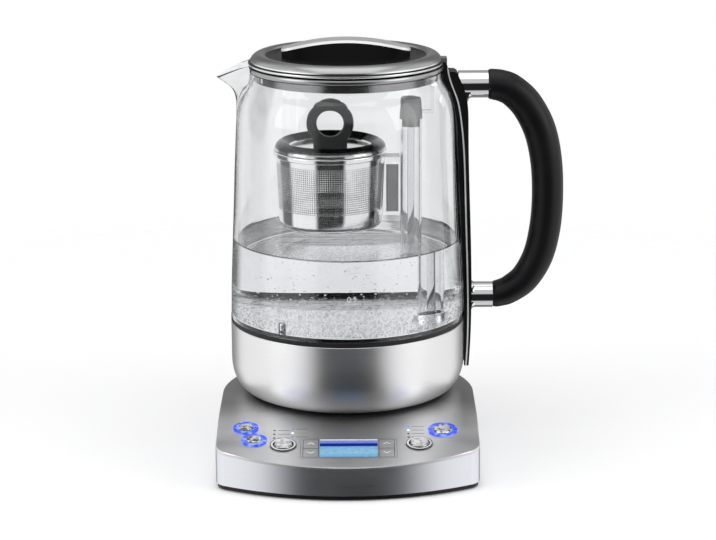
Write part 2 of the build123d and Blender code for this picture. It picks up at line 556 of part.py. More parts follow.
with BuildPart() as cord_gland:
    with BuildSketch(Plane.XZ.offset(-BASE_REAR_EDGE_Y + GLAND_LENGTH)):
        with Locations((0, GLAND_Z)):
            Circle(GLAND_RADIUS)
    extrude(amount=-GLAND_LENGTH - RUN_GAP)
    with BuildSketch(Plane.XZ.offset(-BASE_REAR_EDGE_Y - RUN_GAP)):
        with Locations((0, GLAND_Z)):
            Circle(GLAND_HEAD_RADIUS)
    extrude(amount=-GLAND_HEAD)
    with BuildSketch(Plane.XZ.offset(-BASE_REAR_EDGE_Y + GLAND_LENGTH)):
        with Locations((0, GLAND_Z)):
            Circle(GLAND_HEAD_RADIUS)
    extrude(amount=-(GLAND_LENGTH - PAN_LIP_INSET - WALL - LOOSE_GAP))
    with BuildSketch(Plane.XZ.offset(-BASE_REAR_EDGE_Y + GLAND_LENGTH)):
        with Locations((0, GLAND_Z)):
            Circle(CORD_RADIUS)
    extrude(amount=-GLAND_LENGTH - RUN_GAP - GLAND_HEAD, mode=Mode.SUBTRACT)
save(cord_gland, "cord_gland")

# ---- display, keys and their board ----
with BuildPart() as display_bezel:
    with BuildSketch(panel_plane(DISPLAY_X, DISPLAY_Y, BEZEL_THICKNESS)):
        Rectangle(BEZEL_WIDTH, BEZEL_LENGTH)
        Rectangle(LENS_WIDTH, BEZEL_LENGTH - 2 * LENS_MARGIN, mode=Mode.SUBTRACT)
        with GridLocations(2 * KEY_SIDE, KEY_PITCH, 2, 2):
            Rectangle(KEY_WIDTH + 2 * BUTTON_GAP, KEY_LENGTH + 2 * BUTTON_GAP, mode=Mode.SUBTRACT)
    extrude(amount=BEZEL_THICKNESS)
save(display_bezel, "display_bezel")

with BuildPart() as display_lens:
    with BuildSketch(panel_plane(DISPLAY_X, DISPLAY_Y, LENS_THICKNESS)):
        Rectangle(LENS_WIDTH - 2 * RUN_GAP, BEZEL_LENGTH - 2 * LENS_MARGIN - 2 * RUN_GAP)
    extrude(amount=LENS_THICKNESS)
save(display_lens, "display_lens")

with BuildPart() as display_module:
    with BuildSketch(panel_plane(DISPLAY_X, DISPLAY_Y, LENS_THICKNESS + MODULE_THICKNESS)):
        Rectangle(LENS_WIDTH - 2 * RUN_GAP, BEZEL_LENGTH - 2 * LENS_MARGIN - 2 * RUN_GAP)
    extrude(amount=MODULE_THICKNESS)
save(display_module, "display_module")

with BuildPart() as control_board:
    with BuildSketch() as board_outline:
        base_plan(board_outline, BOARD_INSET)
        with Locations((0, BOARD_REAR_Y)):
            Rectangle(2 * BASE_HALF_WIDTH, BASE_HALF_WIDTH, align=(Align.CENTER, Align.MAX),
                      mode=Mode.INTERSECT)
    extrude(amount=PANEL_FLAT_Z)
    with BuildSketch(Plane.YZ) as board_top_side:
        under_panel(board_top_side, BOARD_TOP_DROP)
    extrude(amount=BASE_HALF_WIDTH, both=True, mode=Mode.INTERSECT)
    with BuildSketch(Plane.YZ) as board_under_side:
        under_panel(board_under_side, BOARD_BOTTOM_DROP)
    extrude(amount=BASE_HALF_WIDTH, both=True, mode=Mode.SUBTRACT)
    for x, y in BOARD_SCREW_SPOTS:
        with BuildSketch(panel_plane(x, y, 2 * BOARD_DEPTH)):
            Circle(SCREW_SHANK_RADIUS + SCREW_CLEARANCE)
        extrude(amount=2 * BOARD_DEPTH, mode=Mode.SUBTRACT)
    # a switch under each button and key
    for x, y in SWITCH_SPOTS:
        with BuildSketch(panel_plane(x, y, BOARD_DEPTH)):
            Rectangle(SWITCH_SIDE, SWITCH_SIDE)
        extrude(amount=SWITCH_BODY)
        with BuildSketch(panel_plane(x, y, BOARD_DEPTH)):
            Circle(PLUNGER_RADIUS)
        extrude(amount=BOARD_DEPTH - BUTTON_DEPTH - BUTTON_TRAVEL - PLUNGER_GAP)
save(control_board, "control_board")

with BuildPart() as base_screws:
    screws(POST_SPOTS, FOOT_HEIGHT, SCREW_LENGTH)
    for x, y in BOARD_SCREW_SPOTS:
        with BuildSketch(panel_plane(x, y, BOARD_DEPTH)):
            Circle(SCREW_HEAD_RADIUS)
        extrude(amount=SCREW_HEAD_HEIGHT)
        with BuildSketch(panel_plane(x, y, BOARD_DEPTH + BOARD_THICKNESS)):
            Circle(SCREW_SHANK_RADIUS)
        extrude(amount=BOARD_THICKNESS)
save(base_screws, "base_screws")

with BuildPart() as indicator_leds:
    for x, y in LED_SPOTS:
        with BuildSketch(panel_plane(x, y, BOARD_DEPTH)):
            Circle(LED_RADIUS)
        extrude(amount=BOARD_DEPTH + LED_PROUD)
save(indicator_leds, "indicator_leds")


def button_ring(x, y, outer_radius, wall):
    """Ring round a button, in the open part: through the panel and a little proud of it."""
    with BuildSketch(panel_plane(x, y, PANEL_THICKNESS)) as ring:
        Circle(outer_radius)
        Circle(outer_radius - wall, mode=Mode.SUBTRACT)
    extrude(ring.sketch, amount=PANEL_THICKNESS + RING_PROUD)


with BuildPart() as lit_rings:
    for x, y, outer_radius in LIT_BUTTONS.values():
        button_ring(x, y, outer_radius, LIT_RING_WALL)
save(lit_rings, "lit_rings")

with BuildPart() as trim_rings:
    for x, y, outer_radius in PLAIN_BUTTONS.values():
        button_ring(x, y, outer_radius, TRIM_RING_WALL)
save(trim_rings, "trim_rings")

for name, (x, y, outer_radius) in ALL_BUTTONS.items():
    ring_wall = LIT_RING_WALL if name in LIT_BUTTONS else TRIM_RING_WALL
    button_radius = outer_radius - ring_wall - BUTTON_GAP
    with BuildPart() as button:
        with BuildSketch(panel_plane(x, y, BUTTON_DEPTH)):
            Circle(button_radius)
        extrude(amount=BUTTON_DEPTH + BUTTON_PROUD)
        round_edges = button.edges().filter_by(GeomType.CIRCLE)
        fillet(round_edges.sort_by_distance(panel_plane(x, y, -CUT_PAST).origin)[0],
               BUTTON_DOME)
        with BuildSketch(panel_plane(x, y, BUTTON_DEPTH)):
            Circle(button_radius + BUTTON_FLANGE)
        extrude(amount=BUTTON_FLANGE_HEIGHT)
    save(button, name)

for name, (x, y) in KEYS.items():
    with BuildPart() as key:
        with BuildSketch(panel_plane(DISPLAY_X, DISPLAY_Y, BUTTON_DEPTH)):
            side = 1 if x > DISPLAY_X else -1
            row = 1 if y > DISPLAY_Y else -1
            with Locations((side * KEY_SIDE, row * KEY_PITCH / 2)):
                Rectangle(KEY_WIDTH, KEY_LENGTH)
        extrude(amount=BUTTON_DEPTH)
    save(key, name)

# ---- power board ----
with BuildPart() as power_board:
    with BuildSketch(Plane.XY.offset(POWER_BOARD_Z)):
        with Locations((0, POWER_BOARD_Y)):
            Rectangle(POWER_BOARD_WIDTH, POWER_BOARD_LENGTH)
    extrude(amount=BOARD_THICKNESS)
    # relay and filter capacitor
    with BuildSketch(Plane.XY.offset(POWER_BOARD_Z + BOARD_THICKNESS)):
        with Locations((RELAY_X, POWER_BOARD_Y)):
            Rectangle(RELAY_SIZE[0], RELAY_SIZE[1])
    extrude(amount=RELAY_SIZE[2])
    with BuildSketch(Plane.XY.offset(POWER_BOARD_Z + BOARD_THICKNESS)):
        with Locations((CAPACITOR_X, POWER_BOARD_Y)):
            Circle(CAPACITOR_RADIUS)
    extrude(amount=CAPACITOR_HEIGHT)
save(power_board, "power_board")

# ---- raised connector ----
with BuildPart() as base_connector:
    with BuildSketch(Plane.XY.offset(CONNECTOR_BOTTOM_Z)):
        Circle(CONNECTOR_NECK_RADIUS)
    extrude(amount=PANEL_FLAT_Z - CONNECTOR_BOTTOM_Z)
    with BuildSketch(Plane.XY.offset(PANEL_FLAT_Z)):
        Circle(CONNECTOR_FLANGE_RADIUS)
    extrude(amount=CONNECTOR_FLANGE_HEIGHT)
    with BuildSketch(Plane.XY.offset(PANEL_FLAT_Z)):
        Circle(CONNECTOR_RADIUS)
    extrude(amount=CONNECTOR_TOP_Z - PANEL_FLAT_Z)
    with BuildSketch(Plane.XY.offset(PANEL_FLAT_Z)):
        Circle(CONTACT_RING_RADIUS + CONTACT_RING_WALL / 2 + CONTACT_SLOT)
        Circle(CONTACT_RING_RADIUS - CONTACT_RING_WALL / 2 - CONTACT_SLOT, mode=Mode.SUBTRACT)
        Circle(PIN_WELL_RADIUS)
    extrude(amount=CONNECTOR_TOP_Z - PANEL_FLAT_Z, mode=Mode.SUBTRACT)
save(base_connector, "base_connector")

with BuildPart() as base_contacts:
    with BuildSketch(Plane.XY.offset(PANEL_FLAT_Z)):
        Circle(CONTACT_RING_RADIUS + CONTACT_RING_WALL / 2)
        Circle(CONTACT_RING_RADIUS - CONTACT_RING_WALL / 2, mode=Mode.SUBTRACT)
        Circle(PIN_RADIUS)
    extrude(amount=CONNECTOR_TOP_Z - PANEL_FLAT_Z - SCREW_CLEARANCE)
save(base_contacts, "base_contacts")

# ======================= jug: steel skirt and bottom =======================
TURN_CENTRE = (SKIRT_RADIUS - SKIRT_TURN_WIDTH, SKIRT_BOTTOM_Z + SKIRT_TURN_HEIGHT)
COVER_BOTTOM_Z = SKIRT_BOTTOM_Z + COVER_RECESS
COVER_TOP_Z = COVER_BOTTOM_Z + COVER_THICKNESS
COVER_RADIUS = TURN_CENTRE[0] - COVER_EDGE_GAP
PLATE_UNDERSIDE_Z = PLATE_TOP_Z - PLATE_THICKNESS
FLANGE_TOP_Z = SKIRT_TOP_Z
FLANGE_BOTTOM_Z = FLANGE_TOP_Z - PLATE_THICKNESS
SEAL_INNER_RADIUS = PLATE_RADIUS + RUN_GAP
COVER_POST_SPOTS = [(COVER_POST_CIRCLE * cos(radians(turn)), COVER_POST_CIRCLE * sin(radians(turn)))
                    for turn in (90, 210, 330)]
PROBE_CIRCLE = PLATE_RADIUS - PROBE_INSET
PROBE_SPOT = (PROBE_CIRCLE * cos(radians(PROBE_TURN)), PROBE_CIRCLE * sin(radians(PROBE_TURN)))

with BuildPart() as jug_connector:
    with BuildSketch(Plane.XY.offset(PANEL_FLAT_Z + CONNECTOR_FLANGE_HEIGHT + LOOSE_GAP)):
        Circle(SOCKET_RADIUS)
    extrude(amount=SOCKET_TOP_Z - PANEL_FLAT_Z - CONNECTOR_FLANGE_HEIGHT - LOOSE_GAP)
    with BuildSketch(Plane.XY.offset(COVER_TOP_Z + LOOSE_GAP)):
        Circle(SOCKET_RIM_RADIUS)
    extrude(amount=SOCKET_RIM_HEIGHT)
    with BuildSketch(Plane.XY.offset(PANEL_FLAT_Z)):
        Circle(CONNECTOR_RADIUS + LOOSE_GAP)
    extrude(amount=CONNECTOR_TOP_Z + LOOSE_GAP - PANEL_FLAT_Z, mode=Mode.SUBTRACT)
save(jug_connector, "jug_connector")

with BuildPart() as jug_skirt:
    with BuildSketch(Plane.XZ):
        with BuildLine():
            EllipticalCenterArc(TURN_CENTRE, SKIRT_TURN_WIDTH, SKIRT_TURN_HEIGHT, start_angle=270, arc_size=90)
            EllipticalCenterArc(TURN_CENTRE, SKIRT_TURN_WIDTH - SHEET, SKIRT_TURN_HEIGHT - SHEET,
                                start_angle=270, arc_size=90)
            Line((TURN_CENTRE[0], SKIRT_BOTTOM_Z), (TURN_CENTRE[0], SKIRT_BOTTOM_Z + SHEET))
            Polyline((SKIRT_RADIUS, TURN_CENTRE[1]), (SKIRT_RADIUS, SKIRT_TOP_Z),
                     (SKIRT_RADIUS - SHEET, SKIRT_TOP_Z), (SKIRT_RADIUS - SHEET, TURN_CENTRE[1]))
        make_face()
    revolve(axis=Axis.Z)
save(jug_skirt, "jug_skirt")

with BuildPart() as jug_bottom_cover:
    with BuildSketch(Plane.XY.offset(PANEL_FLAT_Z + SEAT_GAP)):
        Circle(COVER_FOOT_RADIUS)
        Circle(COVER_FOOT_RADIUS - COVER_FOOT_WIDTH, mode=Mode.SUBTRACT)
    extrude(amount=COVER_BOTTOM_Z - PANEL_FLAT_Z - SEAT_GAP)
    with BuildSketch(Plane.XY.offset(COVER_BOTTOM_Z)):
        Circle(COVER_RADIUS)
    extrude(amount=COVER_THICKNESS)
    with BuildSketch(Plane.XY.offset(COVER_BOTTOM_Z)):
        with Locations(*COVER_POST_SPOTS):
            Circle(COVER_POST_RADIUS)
    extrude(amount=PLATE_UNDERSIDE_Z - COVER_BOTTOM_Z)
    with BuildSketch(Plane.XY.offset(COVER_BOTTOM_Z)):
        Circle(SOCKET_RADIUS + LOOSE_GAP)
    extrude(amount=COVER_THICKNESS, mode=Mode.SUBTRACT)
    screw_holes(COVER_POST_SPOTS, COVER_BOTTOM_Z, SCREW_LENGTH)
save(jug_bottom_cover, "jug_bottom_cover")

# ---- heating plate, element, probe and seal ----
with BuildPart() as heating_plate:
    with BuildSketch(Plane.XZ):
        with BuildLine():
            Polyline(
                (0, PLATE_TOP_Z), (PLATE_RADIUS, PLATE_TOP_Z), (PLATE_RADIUS, FLANGE_TOP_Z),
                (PLATE_FLANGE_RADIUS, FLANGE_TOP_Z), (PLATE_FLANGE_RADIUS, FLANGE_BOTTOM_Z),
                (PLATE_RADIUS - PLATE_THICKNESS, FLANGE_BOTTOM_Z),
                (PLATE_RADIUS - PLATE_THICKNESS, PLATE_UNDERSIDE_Z), (0, PLATE_UNDERSIDE_Z), close=True,
            )
        make_face()
    revolve(axis=Axis.Z)
    # boss that holds the column's foot
    with BuildSketch(Plane.XY.offset(PLATE_TOP_Z)):
        with Locations((COLUMN_X, 0)):
            Circle(COLUMN_SOCKET_RADIUS)
            Circle(COLUMN_RADIUS + RUN_GAP, mode=Mode.SUBTRACT)
    extrude(amount=COLUMN_SOCKET_HEIGHT)
save(heating_plate, "heating_plate")

with BuildPart() as heating_element:
    with BuildSketch(Plane.XZ):
        with Locations((HEATER_RING_RADIUS, PLATE_UNDERSIDE_Z - HEATER_TUBE_RADIUS - RUN_GAP)):
            Circle(HEATER_TUBE_RADIUS)
    revolve(axis=Axis.Z, revolution_arc=HEATER_TURN)
save(heating_element, "heating_element")

with BuildPart() as temperature_probe:
    with BuildSketch(Plane.XY.offset(PLATE_TOP_Z)):
        with Locations(PROBE_SPOT):
            Circle(PROBE_RADIUS)
    extrude(amount=PROBE_TOP_Z - PLATE_TOP_Z)
    fillet(temperature_probe.faces().sort_by(Axis.Z)[-1].edges(), PROBE_RADIUS * 0.9)
save(temperature_probe, "temperature_probe")

with BuildPart() as glass_seal:
    with BuildSketch(Plane.XZ):
        with BuildLine():
            Polyline(
                (SEAL_INNER_RADIUS, FLANGE_TOP_Z), (SKIRT_RADIUS, FLANGE_TOP_Z), (SKIRT_RADIUS, SEAL_TOP_Z),
                (SEAL_INNER_RADIUS + SEAL_LIP, SEAL_TOP_Z), (SEAL_INNER_RADIUS + SEAL_LIP, SEAL_LIP_TOP_Z),
                (SEAL_INNER_RADIUS, SEAL_LIP_TOP_Z), close=True,
            )
        make_face()
    revolve(axis=Axis.Z)
save(glass_seal, "glass_seal")


# ======================= jug: glass =======================
GLASS_OUTLINE = [(SKIRT_RADIUS - inset, SEAL_TOP_Z + rise) for inset, rise in GLASS_STEPS]
GLASS_OUTLINE += [(NECK_RADIUS, NECK_BOTTOM_Z)]


def glass_turned(inset):
    """Sketch of half the jug's section inside its glass surface moved in by inset."""
    points = [(r - inset, z) for r, z in GLASS_OUTLINE]
    with BuildSketch(Plane.XZ) as half_section:
        with BuildLine() as outline:
            Spline(*points, tangents=((0, 1), (0, 1)))
            Polyline(points[-1], (NECK_RADIUS - inset, NECK_TOP_Z), (0, NECK_TOP_Z),
                     (0, SEAL_TOP_Z), points[0])
        make_face(outline.edges())
    return half_section.sketch


def spout_section(z, left_x, root_radius, wall):
    """One level section of the spout: a round root that narrows to a small round tip."""
    root = root_radius - wall
    tip = SPOUT_TIP_RADIUS - wall
    tip_x = left_x + SPOUT_TIP_RADIUS
    lean = asin((root - tip) / (SPOUT_ROOT_X - tip_x))
    tip_side = (tip_x - tip * sin(lean), tip * cos(lean))
    root_side = (SPOUT_ROOT_X - root * sin(lean), root * cos(lean))
    with BuildSketch(Plane.XY.offset(z)) as section:
        with BuildLine() as outline:
            Line(tip_side, root_side)
            ThreePointArc(root_side, (SPOUT_ROOT_X + root, 0), (root_side[0], -root_side[1]))
            Line((root_side[0], -root_side[1]), (tip_side[0], -tip_side[1]))
            ThreePointArc((tip_side[0], -tip_side[1]), (tip_x - tip, 0), tip_side)
        make_face(outline.edges())
    return section.sketch.face()


def spout_loft(wall, mode):
    """The spout's drawn bulge, its surface moved in by wall."""
    loft([spout_section(NECK_BOTTOM_Z + rise, -NECK_RADIUS - reach, root, wall)
          for rise, reach, root in SPOUT_STEPS], mode=mode)


with BuildPart() as jug_glass:
    revolve(glass_turned(0), axis=Axis.Z)
    spout_loft(0, Mode.ADD)
    revolve(glass_turned(GLASS_WALL), axis=Axis.Z, mode=Mode.SUBTRACT)
    spout_loft(SPOUT_WALL, Mode.SUBTRACT)
    # the spout's lip slopes down from the collar to the tip
    lip_slope = (SPOUT_LIP_END[1] - SPOUT_TIP[1]) / (SPOUT_LIP_END[0] - SPOUT_TIP[0])
    far_x = -NECK_RADIUS - SPOUT_STEPS[-1][1] - CUT_PAST
    with BuildSketch(Plane.XZ):
        with BuildLine():
            Polyline(
                (far_x, SPOUT_TIP[1] + lip_slope * (far_x - SPOUT_TIP[0])), SPOUT_LIP_END,
                (SPOUT_LIP_END[0], COLLAR_TOP_Z + CUT_PAST), (far_x, COLLAR_TOP_Z + CUT_PAST), close=True,
            )
        make_face()
    extrude(amount=COLLAR_OUTER_RADIUS, both=True, mode=Mode.SUBTRACT)
    with BuildSketch(Plane.XY.offset(NECK_TOP_Z)):
        Circle(COLLAR_OUTER_RADIUS + SEAT_GAP)
    extrude(amount=COLLAR_TOP_Z - NECK_TOP_Z + CUT_PAST, mode=Mode.SUBTRACT)
save(jug_glass, "jug_glass")

# ======================= jug: collar and hinge =======================
NOTCH_HALF_WIDTH = EAR_OUTER_Y + SEAT_GAP
COLLAR_STEP_Z = COLLAR_BOTTOM_Z + COLLAR_STEP

with BuildPart() as collar:
    bead_radius = COLLAR_OUTER_RADIUS - COLLAR_BEAD
    groove_low = COLLAR_GROOVE_Z - COLLAR_GROOVE / 2
    groove_high = COLLAR_GROOVE_Z + COLLAR_GROOVE / 2
    skirt_inner = COLLAR_SKIRT_RADIUS - COLLAR_SKIRT_WALL
    with BuildSketch(Plane.XZ):
        with BuildLine():
            Polyline((skirt_inner, COLLAR_SKIRT_BOTTOM_Z), (COLLAR_SKIRT_RADIUS, COLLAR_SKIRT_BOTTOM_Z),
                     (COLLAR_SKIRT_RADIUS, COLLAR_BOTTOM_Z), (bead_radius, COLLAR_BOTTOM_Z))
            ThreePointArc((bead_radius, COLLAR_BOTTOM_Z),
                          (COLLAR_OUTER_RADIUS, (COLLAR_BOTTOM_Z + groove_low) / 2), (bead_radius, groove_low))
            Polyline((bead_radius, groove_low), (bead_radius - COLLAR_GROOVE, groove_low),
                     (bead_radius - COLLAR_GROOVE, groove_high), (bead_radius, groove_high))
            ThreePointArc((bead_radius, groove_high),
                          (COLLAR_OUTER_RADIUS, (groove_high + COLLAR_TOP_Z) / 2), (bead_radius, COLLAR_TOP_Z))
            Polyline((bead_radius, COLLAR_TOP_Z), (COLLAR_INNER_RADIUS + COLLAR_TOP_CHAMFER, COLLAR_TOP_Z),
                     (COLLAR_INNER_RADIUS, COLLAR_TOP_Z - COLLAR_TOP_CHAMFER), (COLLAR_INNER_RADIUS, COLLAR_STEP_Z),
                     (skirt_inner, COLLAR_STEP_Z), (skirt_inner, COLLAR_SKIRT_BOTTOM_Z))
        make_face()
    revolve(axis=Axis.Z)
    # notch for the lid's hinge
    with BuildSketch(Plane.XY.offset(NECK_TOP_Z)):
        with Locations((HINGE_X, 0)):
            Rectangle(2 * NOTCH_DEPTH, 2 * NOTCH_HALF_WIDTH)
    extrude(amount=COLLAR_TOP_Z - NECK_TOP_Z + CUT_PAST, mode=Mode.SUBTRACT)
    # strainer slots in front of the spout
    slot_span = STRAINER_STEP * (STRAINER_SLOTS - 1)
    with BuildSketch(Plane.XY.offset(COLLAR_SKIRT_BOTTOM_Z + STRAINER_EDGE)):
        with PolarLocations(COLLAR_SKIRT_RADIUS, STRAINER_SLOTS, start_angle=180 - slot_span / 2,
                            angular_range=slot_span, endpoint=True):
            Rectangle(4 * COLLAR_SKIRT_WALL, STRAINER_SLOT_WIDTH)
    extrude(amount=COLLAR_BOTTOM_Z - COLLAR_SKIRT_BOTTOM_Z - 2 * STRAINER_EDGE, mode=Mode.SUBTRACT)
save(collar, "collar")


INLAY_EDGE = [(SKIRT_RADIUS + reach, SEAL_TOP_Z + rise) for reach, rise in INLAY_STEPS]
COVER_EDGE = [(SKIRT_RADIUS + reach, SEAL_TOP_Z + rise) for reach, rise in COVER_STEPS]


def spine_side(edge, shift, low_z, high_z):
    """Side view of what lies between the jug's middle and a spine layer's outer edge."""
    points = [(x + shift, z) for x, z in edge]
    with BuildSketch(Plane.XZ) as side:
        with BuildLine() as outline:
            Spline(*points)
            Polyline(points[-1], (COLUMN_X, points[-1][1]), (COLUMN_X, points[0][1]), points[0])
        make_face(outline.edges())
        with Locations((COLUMN_X, low_z)):
            Rectangle(SKIRT_RADIUS, high_z - low_z, align=(Align.MIN, Align.MIN), mode=Mode.INTERSECT)
    return side.sketch


def clear_of_jug():
    """Cut the open part back from the glass and the skirt."""
    revolve(glass_turned(-SPINE_GLASS_GAP), axis=Axis.Z, mode=Mode.SUBTRACT)
    with BuildSketch() as skirt_room:
        Circle(SKIRT_RADIUS + SPINE_GLASS_GAP)
    extrude(skirt_room.sketch, amount=SEAL_TOP_Z, mode=Mode.SUBTRACT)


def hinge_relief():
    """Room swept by the lid's tongue round the hinge axis, cut from the open part."""
    with BuildSketch(Plane.XZ) as swept:
        with Locations((HINGE_X, HINGE_Z)):
            Circle(HINGE_RELIEF)
    extrude(swept.sketch, amount=BARREL_HALF_WIDTH + LOOSE_GAP, both=True, mode=Mode.SUBTRACT)


def handle_screw_cut(z, bearing_x, bore_radius, head_radius):
    """Stepped round hole or screw along X: head up to bearing_x, shank beyond it."""
    with BuildSketch(Plane.YZ.offset(bearing_x)) as head:
        with Locations((0, z)):
            Circle(head_radius)
    with BuildSketch(Plane.YZ.offset(bearing_x)) as shank:
        with Locations((0, z)):
            Circle(bore_radius)
    return head.sketch, shank.sketch


HANDLE_SCREWS = [(UPPER_FERRULE_Z, UPPER_BEARING_X), (LOWER_FERRULE_Z, LOWER_BEARING_X)]


def handle_screw_holes():
    """Room for both handle screws, cut from the open part."""
    for z, bearing_x in HANDLE_SCREWS:
        head, shank = handle_screw_cut(z, bearing_x, HANDLE_SCREW_RADIUS + SCREW_CLEARANCE,
                                       HANDLE_SCREW_HEAD_RADIUS + SCREW_CLEARANCE)
        extrude(head, amount=-SKIRT_RADIUS / 4, mode=Mode.SUBTRACT)
        extrude(shank, amount=HANDLE_SCREW_LENGTH + SCREW_CLEARANCE, mode=Mode.SUBTRACT)


with BuildPart() as hinge_block:
    extrude(spine_side(INLAY_EDGE, 0, BLOCK_BOTTOM_Z, BLOCK_TOP_Z), amount=EAR_OUTER_Y, both=True)
    clear_of_jug()
    with BuildSketch(Plane.XY.offset(NECK_TOP_Z)):
        with Locations((HINGE_X, 0)):
            Rectangle(2 * SKIRT_RADIUS, 2 * EAR_OUTER_Y, align=(Align.MAX, Align.CENTER))
    extrude(amount=BLOCK_TOP_Z - NECK_TOP_Z, mode=Mode.SUBTRACT)
    with BuildSketch(Plane.XZ):
        with Locations((HINGE_X, HINGE_Z)):
            Circle(BARREL_RADIUS)
        with Locations((HINGE_X, HINGE_Z - BARREL_RADIUS)):
            Rectangle(EAR_ROOT, BLOCK_TOP_Z - HINGE_Z + BARREL_RADIUS, align=(Align.MIN, Align.MIN))
    extrude(amount=EAR_OUTER_Y, both=True)
    hinge_relief()
    with BuildSketch(Plane.XZ):
        with Locations((HINGE_X, HINGE_Z)):
            Circle(HINGE_PIN_RADIUS + RUN_GAP / 2)
    extrude(amount=EAR_OUTER_Y, both=True, mode=Mode.SUBTRACT)
save(hinge_block, "hinge_block")

with BuildPart() as hinge_pin:
    with BuildSketch(Plane.XZ):
        with Locations((HINGE_X, HINGE_Z)):
            Circle(HINGE_PIN_RADIUS)
    extrude(amount=EAR_OUTER_Y, both=True)
save(hinge_pin, "hinge_pin")

# ======================= jug: handle =======================
with BuildPart() as handle_spine:
    extrude(spine_side(INLAY_EDGE, 0, SPINE_BOTTOM_Z, BLOCK_BOTTOM_Z - RUN_GAP), amount=SPINE_HALF_WIDTH,
            both=True)
    clear_of_jug()
    handle_screw_holes()
save(handle_spine, "handle_spine")

with BuildPart() as spine_trim:
    extrude(spine_side(INLAY_EDGE, SPINE_TRIM, SPINE_BOTTOM_Z, SPINE_TRIM_TOP_Z),
            amount=SPINE_HALF_WIDTH + SPINE_TRIM_EXTRA, both=True)
    extrude(spine_side(INLAY_EDGE, 0, SPINE_BOTTOM_Z - CUT_PAST, BLOCK_TOP_Z), amount=2 * SPINE_HALF_WIDTH,
            both=True, mode=Mode.SUBTRACT)
    hinge_relief()
    handle_screw_holes()
save(spine_trim, "spine_trim")

with BuildPart() as spine_cover:
    extrude(spine_side(COVER_EDGE, 0, SPINE_BOTTOM_Z, SPINE_TOP_Z), amount=SPINE_HALF_WIDTH, both=True)
    extrude(spine_side(INLAY_EDGE, SPINE_TRIM, SPINE_BOTTOM_Z - CUT_PAST, BLOCK_TOP_Z), amount=2 * SPINE_HALF_WIDTH,
            both=True, mode=Mode.SUBTRACT)
    hinge_relief()
    top_edges = spine_cover.edges().filter_by(Axis.Y).group_by(Axis.Z)[-1]
    fillet(top_edges.sort_by(Axis.X)[-1], SPINE_TOP_ROUND)
    handle_screw_holes()
save(spine_cover, "spine_cover")


def ferrule_foot(z, radius, foot_x, top_z):
    """Foot of a ferrule, spread along the spine up to top_z, in the open part."""
    with BuildPart(mode=Mode.PRIVATE) as foot:
        with BuildSketch(Plane.XZ):
            with BuildLine():
                Polyline((foot_x + FLARE, z + radius), (foot_x + FLARE, z), (FERRULE_ROOT_X, z),
                         (FERRULE_ROOT_X, z + radius + FLARE), (foot_x, z + radius + FLARE))
                RadiusArc((foot_x, z + radius + FLARE), (foot_x + FLARE, z + radius), -FLARE)
            make_face()
        revolve(axis=Axis((0, 0, z), (1, 0, 0)))
        with BuildSketch(Plane.XZ):
            with Locations((FERRULE_ROOT_X, top_z)):
                Rectangle(SKIRT_RADIUS, 2 * SKIRT_RADIUS, align=(Align.MIN, Align.MAX))
        extrude(amount=SPINE_HALF_WIDTH, both=True, mode=Mode.INTERSECT)
    add(foot.part)


def ferrule(z, radius, end_x, foot_x, foot_top_z):
    """Tube from the spine to the grip, with a spread foot and a spigot in the grip, in the open part."""
    ferrule_foot(z, radius, foot_x, foot_top_z)
    with BuildSketch(Plane.YZ.offset(FERRULE_ROOT_X)) as tube:
        with Locations((0, z)):
            Circle(radius)
    extrude(tube.sketch, amount=end_x - FERRULE_ROOT_X)
    with BuildSketch(Plane.YZ.offset(end_x)) as spigot:
        with Locations((0, z)):
            Circle(SPIGOT_RADIUS)
    extrude(spigot.sketch, amount=SPIGOT_LENGTH)
    extrude(spine_side(COVER_EDGE, 0, SPINE_BOTTOM_Z, BLOCK_TOP_Z), amount=2 * SPINE_HALF_WIDTH, both=True,
            mode=Mode.SUBTRACT)
    handle_screw_holes()


with BuildPart() as upper_ferrule:
    ferrule(UPPER_FERRULE_Z, UPPER_FERRULE_RADIUS, UPPER_FERRULE_END_X, UPPER_FLARE_X, UPPER_FERRULE_Z)
save(upper_ferrule, "upper_ferrule")

with BuildPart() as lower_ferrule:
    ferrule(LOWER_FERRULE_Z, LOWER_FERRULE_RADIUS, LOWER_FERRULE_END_X, LOWER_FLARE_X,
            LOWER_FERRULE_Z + LOWER_FERRULE_RADIUS + FLARE)
save(lower_ferrule, "lower_ferrule")

with BuildPart() as jug_screws:
    screws(COVER_POST_SPOTS, COVER_BOTTOM_Z, SCREW_LENGTH)
    for z, bearing_x in HANDLE_SCREWS:
        head, shank = handle_screw_cut(z, bearing_x, HANDLE_SCREW_RADIUS, HANDLE_SCREW_HEAD_RADIUS)
        extrude(head, amount=-SCREW_HEAD_HEIGHT)
        extrude(shank, amount=HANDLE_SCREW_LENGTH)
save(jug_screws, "jug_screws")

